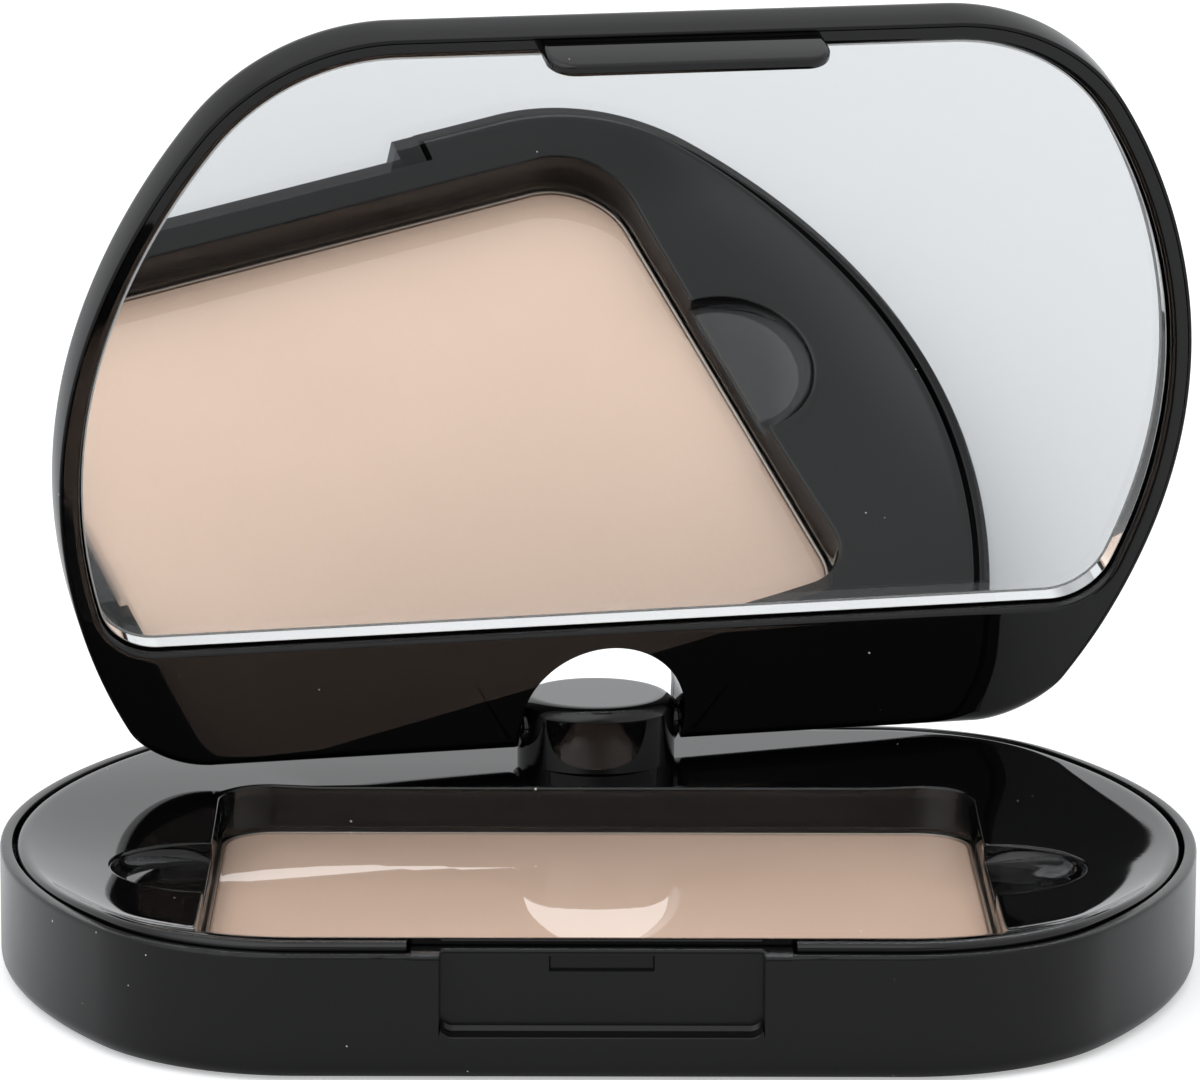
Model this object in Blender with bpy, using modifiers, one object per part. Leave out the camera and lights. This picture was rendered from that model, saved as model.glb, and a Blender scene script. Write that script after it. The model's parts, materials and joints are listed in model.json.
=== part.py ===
"""Powder compact with a swivelling, tilting mirror lid, standing open.

Metres, +Z up. The origin is the middle of the underside of the base, X runs
along the compact and +Y points to the hinge. The lid is drawn shut, in the
base's own frame, and two empties on the hinge axes turn it to its open pose.
"""
import math

import bmesh
import bpy

# Plan outline of the compact: two ends, four flatter sides, four corners
LENGTH = 0.0880
DEPTH = 0.0693
END_RADIUS = 0.0446
END_HALF_ANGLE = math.radians(14.84)
SIDE_RADIUS = 0.0509
CORNER_RADIUS = 0.0174

# Clearances between neighbours
SEAT_GAP = 0.0003
RIM_GAP = 0.0003
PAN_GAP = 0.0003
FILM_GAP = 0.00015
RUNNING_GAP = 0.0004

# Base shell
BASE_HEIGHT = 0.0089
BASE_WALL = 0.0009
BASE_FLOOR = 0.0012
BASE_EDGE_ROUND = 0.0012
RIM_BREAK = 0.0002
LEDGE_WIDTH = 0.0009

# Front recess that takes the lid's tab, with the wall behind it
RECESS_DEPTH = 0.00195
RECESS_HEIGHT = 0.0059
RECESS_WALL = 0.0010
RECESS_ROUND = 0.0007
RECESS_LAND = 0.0020
PANEL_DROP = 0.0001
GROOVE_DROP = 0.00107
GROOVE_HEIGHT = 0.0010
GROOVE_DEPTH = 0.0005

# Glossy deck with its raised lip
DECK_DROP = 0.00135
DECK_PLATE = 0.0010
LIP_FRONT_RISE = 0.00065
LIP_ROUND = 0.0004
LIP_FLAT = 0.0003
DISH_WIDTH = 0.0130
RISE_LAND = 0.00465
RISE_RUN = 0.020
SKIRT_WALL = 0.0009
SKIRT_LIFT = 0.0003

# Well for the pan
WELL_HALF_LENGTH = 0.0286
WELL_FRONT_LAND = 0.00545
WELL_POST_LAND = 0.00343
WELL_FRONT_RADIUS = 0.0065
WELL_BACK_RADIUS = 0.0043

# Half-round finger pockets at the two ends of the well
POCKET_RADIUS = 0.0070
POCKET_SHIFT = 0.0006
POCKET_DEPTH = 0.0014
POCKET_ROUND = 0.0007
POCKET_WALL = 0.0009

# Pan, cake and the adhesive sheet under the pan
ADHESIVE_THICKNESS = 0.0003
ADHESIVE_MARGIN = 0.0040
PAN_WALL = 0.0003
PAN_BEND = 0.0006
PAN_TOP = 0.00450
CAKE_DROP = 0.00005
CAKE_ROUND = 0.0003

# Clear lift-out tray over the cake
TRAY_WALL = 0.00025
TRAY_RISE = 0.0001
TRAY_BEND = 0.0005
EAR_DROP = 0.0007
EAR_GAP = 0.0003

# Hinge: post axis, tilt pin and pose
HINGE_SETBACK = 0.00802
HINGE_RISE = 0.00212
OPEN_ANGLE = math.radians(69.52)
SWIVEL_ANGLE = math.radians(14.785)
POST_RADIUS = 0.0056
POST_RISE = 0.00445
POST_ROUND = 0.0011
POST_SEAT_DEPTH = 0.0004
SEAT_RISE = 0.00045
SEAT_RING = 0.0003
TRUNNION_RADIUS = 0.0017
NECK_RADIUS = 0.0030
NECK_LIFT = 0.0004
CLIP_GROOVE_RADIUS = 0.0023
CLIP_THICKNESS = 0.0006
CLIP_WIDTH = 0.0020
CLIP_MOUTH = 0.0036
WASHER_THICKNESS = 0.0004
WASHER_WIDTH = 0.0018
BOSS_WALL = 0.0013
BOSS_HEIGHT = 0.0032
PIN_RADIUS = 0.0006
PIN_BREAK = 0.00015

# Lid shell, the outer cover
LID_SEAT = 0.0003
LID_HEIGHT = 0.0044
LID_PLATE = 0.0011
LID_ROUND = 0.0015
LID_WALL = 0.0016
SHELL_EDGE = 0.0003
LID_CORNER = 0.0080
HINGE_EDGE = 0.00137
HINGE_CHAMFER = 0.0010
NOTCH_GAP = 0.0009
NOTCH_REACH = 0.00788

# Glossy frame inside the lid: its rim, the band by the hinge and the tab that snaps into the base's recess
FRAME_EDGE = 0.00045
FRAME_THICKNESS = 0.0010
FRAME_RIM = 0.00105
FRAME_BEVEL = 0.0005
BLOCK_LENGTH = 0.0046
TAB_HALF_LENGTH = 0.0107
TAB_SIDE_GAP = 0.0005
TAB_REACH = 0.0039
TAB_ROUND = 0.0003
TAB_THICKNESS = 0.0010
TAB_CORNER = 0.0020
RIDGE_HALF_LENGTH = 0.0032
RIDGE_HEIGHT = 0.0006
RIDGE_PROUD = 0.0007
BAND_GAP = 0.00025

# Mirror glass, silvered on its back, and the pad behind it
MIRROR_RECESS = 0.00045
MIRROR_THICKNESS = 0.0018
MIRROR_LAND = 0.00190
MIRROR_CORNER = 0.0050
MIRROR_GAP = 0.0002
MIRROR_BEVEL = 0.0002
PAD_THICKNESS = 0.0006
PAD_MARGIN = 0.0030
PIN_END_GAP = 0.0060

# Facets on each kind of arc
END_STEPS = 4
SIDE_STEPS = 5
CORNER_STEPS = 8
FILLET_STEPS = 4
ROUND_SIDES = 40
SMALL_SIDES = 16
SHARP_ANGLE = math.radians(32)

# How far a cutter runs past the face that it opens
PAST = 0.002

# Heights and reaches that several pieces share
FRONT_Y = -DEPTH / 2
HINGE_Y = DEPTH / 2 - HINGE_SETBACK
WELL_FRONT = FRONT_Y + WELL_FRONT_LAND
WELL_BACK = HINGE_Y - POST_RADIUS - WELL_POST_LAND
POCKET_Y = (WELL_FRONT + WELL_BACK) / 2 + POCKET_SHIFT
MIRROR_BACK = HINGE_Y - NOTCH_REACH - MIRROR_LAND
RISE_END = FRONT_Y + RISE_LAND
RISE_START = RISE_END + RISE_RUN
DECK_TOP = BASE_HEIGHT - DECK_DROP
DECK_BOTTOM = DECK_TOP - DECK_PLATE
DECK_EDGE = BASE_WALL + RIM_GAP
PANEL_Y = FRONT_Y + RECESS_DEPTH
PAN_BOTTOM = BASE_FLOOR + ADHESIVE_THICKNESS + 2 * SEAT_GAP
LID_RIM_Z = BASE_HEIGHT + LID_SEAT
LID_CEILING_Z = LID_RIM_Z + LID_HEIGHT - LID_PLATE
HINGE_Z = BASE_HEIGHT + HINGE_RISE
RECESS_HALF_LENGTH = TAB_HALF_LENGTH + TAB_SIDE_GAP
NOTCH_RADIUS = POST_RADIUS + NOTCH_GAP
NECK_BORE = NECK_RADIUS + RUNNING_GAP
PIN_BORE = PIN_RADIUS + SEAT_GAP

for old in list(bpy.data.objects):
    bpy.data.objects.remove(old)

parts = bpy.data.collections.new("powder_compact")
cutters = bpy.data.collections.new("powder_compact_cutters")
bpy.context.scene.collection.children.link(parts)
bpy.context.scene.collection.children.link(cutters)


def quarter_arcs(edge_y, radius):
    """Arcs of the right back quarter: end, side, then a corner that meets the straight edge at edge_y."""
    end_x = LENGTH / 2 - END_RADIUS
    reach = END_RADIUS - SIDE_RADIUS
    side_x = end_x + reach * math.cos(END_HALF_ANGLE)
    side_y = reach * math.sin(END_HALF_ANGLE)
    corner_y = edge_y - radius
    corner_x = side_x + math.sqrt((SIDE_RADIUS - radius) ** 2 - (corner_y - side_y) ** 2)
    meet = math.atan2(corner_y - side_y, corner_x - side_x)
    return [
        (end_x, 0.0, END_RADIUS, 0.0, END_HALF_ANGLE, END_STEPS),
        (side_x, side_y, SIDE_RADIUS, END_HALF_ANGLE, meet, SIDE_STEPS),
        (corner_x, corner_y, radius, meet, math.pi / 2, CORNER_STEPS),
    ]


def mirrored_arcs(arcs, flip_x, flip_y):
    """The same arcs in another quarter, still running anticlockwise."""
    turned_arcs = []
    for x, y, radius, start, end, steps in arcs:
        if flip_x:
            x, start, end = -x, math.pi - start, math.pi - end
        if flip_y:
            y, start, end = -y, -start, -end
        turned_arcs.append((x, y, radius, start, end, steps))
    if flip_x != flip_y:
        turned_arcs = [(x, y, r, end, start, n) for x, y, r, start, end, n in reversed(turned_arcs)]
    return turned_arcs


def outline_of(arcs):
    """Points of a closed outline with their outward normals, one after another along the arcs."""
    points = []
    for x, y, radius, start, end, steps in arcs:
        for step in range(steps + 1):
            angle = start + (end - start) * step / steps
            nx, ny = math.cos(angle), math.sin(angle)
            point = (x + radius * nx, y + radius * ny, nx, ny)
            if not points or math.dist(point[:2], points[-1][:2]) > 1e-6:
                points.append(point)
    if math.dist(points[0][:2], points[-1][:2]) < 1e-6:
        points.pop()
    return points


def compact_outline(back_edge=DEPTH / 2, back_radius=CORNER_RADIUS):
    """The compact's plan, with its back edge at any distance behind the middle."""
    back = quarter_arcs(back_edge, back_radius)
    front = quarter_arcs(DEPTH / 2, CORNER_RADIUS)
    return outline_of(
        mirrored_arcs(back, False, False) + mirrored_arcs(back, True, False)
        + mirrored_arcs(front, True, True) + mirrored_arcs(front, False, True)
    )


def rectangle_outline(half_length, front, back, front_radius, back_radius):
    """A rectangle with rounded corners, the front pair and the back pair each with their own radius."""
    corners = [
        (half_length - back_radius, back - back_radius, back_radius, 0.0),
        (back_radius - half_length, back - back_radius, back_radius, math.pi / 2),
        (front_radius - half_length, front + front_radius, front_radius, math.pi),
        (half_length - front_radius, front + front_radius, front_radius, 1.5 * math.pi),
    ]
    return outline_of([(x, y, r, a, a + math.pi / 2, CORNER_STEPS) for x, y, r, a in corners])


def well_outline():
    return rectangle_outline(WELL_HALF_LENGTH, WELL_FRONT, WELL_BACK, WELL_FRONT_RADIUS, WELL_BACK_RADIUS)


def fillet(inset, z, radius, start, end, steps=FILLET_STEPS):
    """Profile points round a centre, the angles in degrees from the inward direction."""
    angles = [math.radians(start + (end - start) * i / steps) for i in range(steps + 1)]
    return [(inset + radius * math.cos(a), z + radius * math.sin(a)) for a in angles]


def new_object(name, bm, collection=None):
    mesh = bpy.data.meshes.new(name)
    bm.to_mesh(mesh)
    bm.free()
    obj = bpy.data.objects.new(name, mesh)
    (collection or parts).objects.link(obj)
    return obj


def loft(name, outline, profile, rise=None):
    """Carry a profile of (inset, height) round an outline and close both ends.

    A profile point's third value is its share of rise, a height that follows Y.
    """
    bm = bmesh.new()
    rings = []
    for inset, z, *share in profile:
        ring = []
        for x, y, nx, ny in outline:
            py = y - inset * ny
            lift = share[0] * rise(py) if share else 0.0
            ring.append(bm.verts.new((x - inset * nx, py, z + lift)))
        rings.append(ring)
    count = len(outline)
    for low, high in zip(rings, rings[1:]):
        for i in range(count):
            j = (i + 1) % count
            bm.faces.new((low[i], low[j], high[j], high[i]))
    bm.faces.new(list(reversed(rings[0])))
    bm.faces.new(rings[-1])
    return new_object(name, bm)


def box(name, low, high, bevel=0.0):
    bm = bmesh.new()
    bmesh.ops.create_cube(bm, size=1.0)
    size = [b - a for a, b in zip(low, high)]
    middle = [(a + b) / 2 for a, b in zip(low, high)]
    bmesh.ops.scale(bm, verts=bm.verts, vec=size)
    bmesh.ops.translate(bm, verts=bm.verts, vec=middle)
    obj = new_object(name, bm)
    if bevel:
        round_edges(obj, bevel)
    return obj


def cylinder(name, radius, low, high, x=0.0, y=0.0, sides=ROUND_SIDES):
    bm = bmesh.new()
    bmesh.ops.create_cone(bm, cap_ends=True, segments=sides, radius1=radius, radius2=radius, depth=high - low)
    bmesh.ops.translate(bm, verts=bm.verts, vec=(x, y, (low + high) / 2))
    return new_object(name, bm)


def rod(name, radius, half_length):
    """A round bar along X, about its own middle."""
    obj = cylinder(name, radius, -half_length, half_length, sides=SMALL_SIDES)
    for vertex in obj.data.vertices:
        x, y, z = vertex.co
        vertex.co = (z, y, -x)
    return obj


def turned(name, profile, closed):
    """A profile of (radius, height) turned about Z, run top to bottom down its outer side."""
    bm = bmesh.new()
    verts = [bm.verts.new((radius, 0.0, z)) for radius, z in profile]
    for a, b in zip(verts, verts[1:]):
        bm.edges.new((a, b))
    if closed:
        bm.edges.new((verts[-1], verts[0]))
    obj = new_object(name, bm)
    screw = obj.modifiers.new("turn", "SCREW")
    screw.axis = "Z"
    screw.steps = screw.render_steps = ROUND_SIDES
    screw.use_merge_vertices = True
    screw.merge_threshold = 1e-6
    return obj


def round_edges(obj, width, segments=2):
    bevel = obj.modifiers.new("round", "BEVEL")
    bevel.width = width
    bevel.segments = segments
    bevel.limit_method = "ANGLE"
    bevel.angle_limit = SHARP_ANGLE


def combine(target, tool, operation):
    """Join a tool to a piece or cut it away, and put the tool among the cutters."""
    change = target.modifiers.new(tool.name, "BOOLEAN")
    change.operation = operation
    change.object = tool
    parts.objects.unlink(tool)
    cutters.objects.link(tool)
    tool.hide_render = True
    tool.display_type = "WIRE"


def join(target, *tools):
    for tool in tools:
        combine(target, tool, "UNION")


def cut(target, *tools):
    for tool in tools:
        combine(target, tool, "DIFFERENCE")


def finish(obj, colour, roughness, metallic=0.0, transmission=0.0):
    material = bpy.data.materials.new(obj.name)
    material.use_nodes = True
    shader = material.node_tree.nodes["Principled BSDF"]
    shader.inputs["Base Color"].default_value = (*colour, 1.0)
    shader.inputs["Roughness"].default_value = roughness
    shader.inputs["Metallic"].default_value = metallic
    shader.inputs["Transmission Weight"].default_value = transmission
    obj.data.materials.append(material)
    obj.data.shade_smooth()
    obj.data.set_sharp_from_angle(angle=SHARP_ANGLE)


def axis_empty(name, location, rotation, parent=None):
    empty = bpy.data.objects.new(name, None)
    empty.empty_display_size = POST_RADIUS
    empty.location = location
    empty.rotation_euler = rotation
    empty.parent = parent
    parts.objects.link(empty)
    return empty


def front_rise(y):
    """How much further the deck's lip stands up at Y, smoothly from the sides to the front."""
    share = min(max((y - RISE_START) / (RISE_END - RISE_START), 0.0), 1.0)
    return LIP_FRONT_RISE * share * share * (3 - 2 * share)


swivel_axis = axis_empty("swivel_axis", (0.0, HINGE_Y, 0.0), (0.0, 0.0, SWIVEL_ANGLE))
tilt_axis = axis_empty("tilt_axis", (0.0, 0.0, HINGE_Z), (-OPEN_ANGLE, 0.0, 0.0), swivel_axis)


def on_post(*objects):
    """Pieces drawn about the post's own axis turn with the swivel."""
    for obj in objects:
        obj.parent = swivel_axis


def on_lid(*objects):
    """Pieces drawn shut, in the base's frame, turn with the lid."""
    for obj in objects:
        obj.parent = tilt_axis
        obj.location = (0.0, -HINGE_Y, -HINGE_Z)


# Base shell: a moulded tray with a ledge for the deck, a recess for the tab and a boss for the post
ledge_z = DECK_BOTTOM - SEAT_GAP
ledge_inset = BASE_WALL + LEDGE_WIDTH
base_shell = loft("base_shell", compact_outline(), [
    *fillet(BASE_EDGE_ROUND, BASE_EDGE_ROUND, BASE_EDGE_ROUND, 270, 180),
    (0.0, BASE_HEIGHT - RIM_BREAK),
    (RIM_BREAK, BASE_HEIGHT),
    (BASE_WALL, BASE_HEIGHT),
    (BASE_WALL, ledge_z),
    (ledge_inset, ledge_z),
    (ledge_inset, BASE_FLOOR),
])
panel_half_length = RECESS_HALF_LENGTH + RECESS_LAND
panel_back = PANEL_Y + RECESS_WALL
join(
    base_shell,
    box("recess_backing", (-panel_half_length, FRONT_Y + BASE_WALL / 2, BASE_FLOOR / 2),
        (panel_half_length, panel_back, BASE_HEIGHT - PANEL_DROP)),
    cylinder("post_boss", NECK_BORE + BOSS_WALL, BASE_FLOOR / 2, BASE_FLOOR + BOSS_HEIGHT, y=HINGE_Y),
)
recess_floor = BASE_HEIGHT - RECESS_HEIGHT
groove_z = BASE_HEIGHT - GROOVE_DROP
cut(
    base_shell,
    box("tab_recess", (-RECESS_HALF_LENGTH, FRONT_Y - PAST, recess_floor),
        (RECESS_HALF_LENGTH, PANEL_Y, BASE_HEIGHT + PAST), RECESS_ROUND),
    box("snap_groove", (-RIDGE_HALF_LENGTH - TAB_SIDE_GAP, PANEL_Y - PAST, groove_z - GROOVE_HEIGHT / 2),
        (RIDGE_HALF_LENGTH + TAB_SIDE_GAP, PANEL_Y + GROOVE_DEPTH, groove_z + GROOVE_HEIGHT / 2)),
    cylinder("boss_bore", NECK_BORE, BASE_FLOOR, BASE_FLOOR + BOSS_HEIGHT + PAST, y=HINGE_Y),
)
finish(base_shell, (0.012, 0.012, 0.013), 0.38)

# Deck: a glossy insert with a raised lip, a skirted well, two finger pockets and the post's bore
lip_top = BASE_HEIGHT
dish_start = DECK_EDGE + LIP_ROUND + LIP_FLAT
dish = ((0.06, 0.15, 0.48), (0.15, 0.34, 0.16), (0.3, 0.58, 0.02), (0.5, 0.78, 0.0), (0.75, 0.92, 0.0), (1.0, 1.0, 0.0))
deck = loft("deck", compact_outline(), [
    (DECK_EDGE, DECK_BOTTOM),
    *((inset, z, 1.0) for inset, z in fillet(DECK_EDGE + LIP_ROUND, lip_top - LIP_ROUND, LIP_ROUND, 180, 90)),
    (dish_start, lip_top, 1.0),
    *((dish_start + DISH_WIDTH * along, lip_top - DECK_DROP * fall, share) for along, fall, share in dish),
], front_rise)
skirt_bottom = BASE_FLOOR + SKIRT_LIFT
skirt_top = DECK_BOTTOM + DECK_PLATE / 2
seat_top = DECK_TOP + SEAT_RISE
seat_radius = POST_RADIUS + RUNNING_GAP
join(deck, cylinder("seat_ring", seat_radius + SEAT_RING, skirt_top, seat_top, y=HINGE_Y))
join(deck, loft("well_skirt", well_outline(), [(-SKIRT_WALL, skirt_bottom), (-SKIRT_WALL, skirt_top)]))
pocket_floor = DECK_TOP - POCKET_DEPTH
for side, x in (("left", -WELL_HALF_LENGTH), ("right", WELL_HALF_LENGTH)):
    join(deck, cylinder(f"pocket_wall_{side}", POCKET_RADIUS + POCKET_WALL,
                        pocket_floor - POCKET_WALL, skirt_top, x, POCKET_Y))
well_cutter = loft("well_cutter", well_outline(), [(0.0, skirt_bottom - PAST), (0.0, lip_top + PAST)])
cut(deck, well_cutter)
for side, x in (("left", -WELL_HALF_LENGTH), ("right", WELL_HALF_LENGTH)):
    pocket = cylinder(f"pocket_{side}", POCKET_RADIUS, pocket_floor, lip_top + PAST, x, POCKET_Y)
    round_edges(pocket, POCKET_ROUND)
    cut(deck, pocket)
cut(
    deck,
    box("tab_clearance", (-panel_half_length - SEAT_GAP, FRONT_Y - PAST, DECK_BOTTOM - PAST),
        (panel_half_length + SEAT_GAP, panel_back + SEAT_GAP, lip_top + PAST)),
    cylinder("post_seat", seat_radius, seat_top - POST_SEAT_DEPTH, lip_top + PAST, y=HINGE_Y),
    cylinder("deck_bore", NECK_BORE, DECK_BOTTOM - PAST, lip_top + PAST, y=HINGE_Y),
)
finish(deck, (0.008, 0.008, 0.009), 0.06)

# Pan, its adhesive sheet and the pressed cake
adhesive_low = BASE_FLOOR + SEAT_GAP
pan_adhesive = loft("pan_adhesive", well_outline(), [
    (ADHESIVE_MARGIN, adhesive_low),
    (ADHESIVE_MARGIN, adhesive_low + ADHESIVE_THICKNESS),
])
finish(pan_adhesive, (0.75, 0.72, 0.62), 0.6)

pan_inner = PAN_GAP + PAN_WALL
powder_pan = loft("powder_pan", well_outline(), [
    *fillet(PAN_GAP + PAN_BEND, PAN_BOTTOM + PAN_BEND, PAN_BEND, 270, 180),
    (PAN_GAP, PAN_TOP),
    (pan_inner, PAN_TOP),
    (pan_inner, PAN_BOTTOM + PAN_WALL),
])
finish(powder_pan, (0.78, 0.77, 0.74), 0.28, metallic=1.0)

cake_inset = pan_inner + SEAT_GAP
cake_top = PAN_TOP - CAKE_DROP
powder_cake = loft("powder_cake", well_outline(), [
    (cake_inset, PAN_BOTTOM + PAN_WALL + SEAT_GAP),
    (cake_inset, cake_top - CAKE_ROUND),
    (cake_inset + CAKE_ROUND, cake_top),
])
finish(powder_cake, (0.62, 0.42, 0.30), 0.85)

# Clear tray: a formed sheet that lies over the cake, with an ear in each finger pocket
tray_floor = PAN_TOP + FILM_GAP
tray_top = DECK_TOP + TRAY_RISE
clear_tray = loft("clear_tray", well_outline(), [
    *fillet(PAN_GAP + TRAY_BEND, tray_floor + TRAY_BEND, TRAY_BEND, 270, 180),
    (PAN_GAP, tray_top),
])
ear_top = DECK_TOP - EAR_DROP
for side, x in (("left", -WELL_HALF_LENGTH), ("right", WELL_HALF_LENGTH)):
    join(clear_tray, cylinder(f"ear_{side}", POCKET_RADIUS - EAR_GAP, ear_top - TRAY_WALL, ear_top, x, POCKET_Y))
cut(clear_tray, loft("tray_inside", well_outline(), [
    *fillet(PAN_GAP + TRAY_BEND, tray_floor + TRAY_BEND, TRAY_BEND - TRAY_WALL, 270, 180),
    (PAN_GAP + TRAY_WALL, tray_top + PAST),
]))
finish(clear_tray, (0.95, 0.96, 0.97), 0.03, transmission=1.0)

# Swivel post, held under the deck by a washer and a spring clip
post_top = BASE_HEIGHT + POST_RISE
post_foot = seat_top - POST_SEAT_DEPTH + SEAT_GAP
washer_top = DECK_BOTTOM - SEAT_GAP
clip_top = washer_top - WASHER_THICKNESS - SEAT_GAP
clip_bottom = clip_top - CLIP_THICKNESS
groove_top = clip_top + SEAT_GAP
groove_bottom = clip_bottom - SEAT_GAP
neck_end = BASE_FLOOR + NECK_LIFT
shoulder = [(POST_RADIUS - dx, z) for dx, z in fillet(POST_ROUND, post_top - POST_ROUND, POST_ROUND, 90, 180)]
swivel_post = turned("swivel_post", [
    (0.0, post_top),
    *shoulder,
    (POST_RADIUS, post_foot),
    (NECK_RADIUS, post_foot),
    (NECK_RADIUS, groove_top),
    (CLIP_GROOVE_RADIUS, groove_top),
    (CLIP_GROOVE_RADIUS, groove_bottom),
    (NECK_RADIUS, groove_bottom),
    (NECK_RADIUS, neck_end),
    (0.0, neck_end),
], closed=False)
trunnion = rod("trunnion", TRUNNION_RADIUS, NOTCH_RADIUS - RUNNING_GAP)
pin_hole = rod("post_pin_hole", PIN_BORE, NOTCH_RADIUS + PAST)
trunnion.location = pin_hole.location = (0.0, 0.0, HINGE_Z)
join(swivel_post, trunnion)
cut(swivel_post, pin_hole)
finish(swivel_post, (0.010, 0.010, 0.011), 0.08)

washer_inner = NECK_BORE
friction_washer = turned("friction_washer", [
    (washer_inner, washer_top),
    (washer_inner + WASHER_WIDTH, washer_top),
    (washer_inner + WASHER_WIDTH, washer_top - WASHER_THICKNESS),
    (washer_inner, washer_top - WASHER_THICKNESS),
], closed=True)
finish(friction_washer, (0.80, 0.79, 0.75), 0.45)
friction_washer.location = (0.0, HINGE_Y, 0.0)

clip_inner = CLIP_GROOVE_RADIUS + SEAT_GAP
clip_outer = clip_inner + CLIP_WIDTH
retaining_clip = turned("retaining_clip", [
    (clip_inner, clip_top),
    (clip_outer, clip_top),
    (clip_outer, clip_bottom),
    (clip_inner, clip_bottom),
], closed=True)
clip_mouth = box("clip_mouth", (-CLIP_MOUTH / 2, -clip_outer - PAST, clip_bottom - PAST),
                 (CLIP_MOUTH / 2, 0.0, clip_top + PAST))
cut(retaining_clip, clip_mouth)
finish(retaining_clip, (0.55, 0.55, 0.56), 0.30, metallic=1.0)
on_post(swivel_post, trunnion, pin_hole, retaining_clip, clip_mouth)

# Lid shell: a shallow cover, open along the hinge for the frame's block, with a notch for the post
hinge_edge_y = HINGE_Y + HINGE_EDGE
lid_plan = compact_outline(hinge_edge_y, LID_CORNER)
frame_back = LID_RIM_Z + FRAME_THICKNESS
block_front = hinge_edge_y - BLOCK_LENGTH
block_back = LID_CEILING_Z - SEAT_GAP


def notch_cutter(name):
    """The U-shaped notch round the post, open at the hinge edge."""
    bow = HINGE_Y - NOTCH_REACH
    return loft(name, rectangle_outline(NOTCH_RADIUS, bow, DEPTH / 2, NOTCH_RADIUS, HINGE_CHAMFER),
                [(0.0, LID_RIM_Z - PAST), (0.0, LID_RIM_Z + LID_HEIGHT + PAST)])


lid_shell = loft("lid_shell", lid_plan, [
    (LID_WALL, LID_CEILING_Z),
    (LID_WALL, frame_back + SEAT_GAP),
    (SHELL_EDGE, frame_back + SEAT_GAP),
    (SHELL_EDGE, LID_RIM_Z),
    (RIM_BREAK, LID_RIM_Z),
    (0.0, LID_RIM_Z + RIM_BREAK),
    *fillet(LID_ROUND, LID_RIM_Z + LID_HEIGHT - LID_ROUND, LID_ROUND, 180, 90),
])
hinge_opening = box("hinge_opening", (-LENGTH, block_front - BAND_GAP, LID_RIM_Z - PAST),
                    (LENGTH, hinge_edge_y + PAST, LID_CEILING_Z - PANEL_DROP))
shell_notch = notch_cutter("shell_notch")
on_lid(lid_shell, hinge_opening, shell_notch)
cut(lid_shell, hinge_opening, shell_notch)
finish(lid_shell, (0.012, 0.012, 0.013), 0.38)

# Mirror frame: a glossy rim round the mirror, in one with the hinge block, which holds the pin, and the snap tab
mirror_inset = LID_WALL + MIRROR_GAP
mirror_outline = compact_outline(MIRROR_BACK + mirror_inset, MIRROR_CORNER + mirror_inset)
mirror_frame = loft("mirror_frame", lid_plan, [
    (FRAME_EDGE, LID_RIM_Z),
    (FRAME_EDGE, frame_back),
])
block_inset = LID_WALL + BAND_GAP
inner_block = loft("inner_block", lid_plan, [(block_inset, LID_RIM_Z + FRAME_BEVEL), (block_inset, block_back)])
inner_trim = box("inner_trim", (-LENGTH, -LENGTH, LID_RIM_Z - PAST),
                 (LENGTH, MIRROR_BACK - PAST, LID_RIM_Z + LID_HEIGHT + PAST))
end_block = loft("end_block", lid_plan, [
    (RIM_BREAK, LID_RIM_Z),
    (0.0, LID_RIM_Z + RIM_BREAK),
    (0.0, block_back),
])
end_trim = box("end_trim", (-LENGTH, -LENGTH, LID_RIM_Z - PAST), (LENGTH, block_front, LID_RIM_Z + LID_HEIGHT + PAST))
mirror_opening = loft("mirror_opening", mirror_outline, [
    (FRAME_RIM, LID_RIM_Z - PAST),
    (FRAME_RIM, LID_RIM_Z),
    (LID_WALL, LID_RIM_Z + FRAME_BEVEL),
    (LID_WALL, LID_RIM_Z + LID_HEIGHT),
])
tab_low = LID_RIM_Z - TAB_REACH
tab_front = FRONT_Y + FRAME_EDGE
tab_back = tab_front + TAB_THICKNESS
tab = loft("tab", rectangle_outline(TAB_HALF_LENGTH, tab_low, frame_back - PANEL_DROP, TAB_CORNER, TAB_ROUND), [
    *fillet(TAB_ROUND, -tab_back + TAB_ROUND, TAB_ROUND, 270, 180, 2),
    *fillet(TAB_ROUND, -tab_front - TAB_ROUND, TAB_ROUND, 180, 90, 2),
])
tab.rotation_euler = (math.pi / 2, 0.0, 0.0)
ridge = box("ridge", (-RIDGE_HALF_LENGTH, tab_back - TAB_THICKNESS / 2, groove_z - RIDGE_HEIGHT / 2),
            (RIDGE_HALF_LENGTH, tab_back + RIDGE_PROUD, groove_z + RIDGE_HEIGHT / 2))
frame_notch = notch_cutter("frame_notch")
on_lid(mirror_frame, inner_block, inner_trim, end_block, end_trim, mirror_opening, tab, ridge, frame_notch)
cut(inner_block, inner_trim)
cut(end_block, end_trim)

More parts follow.
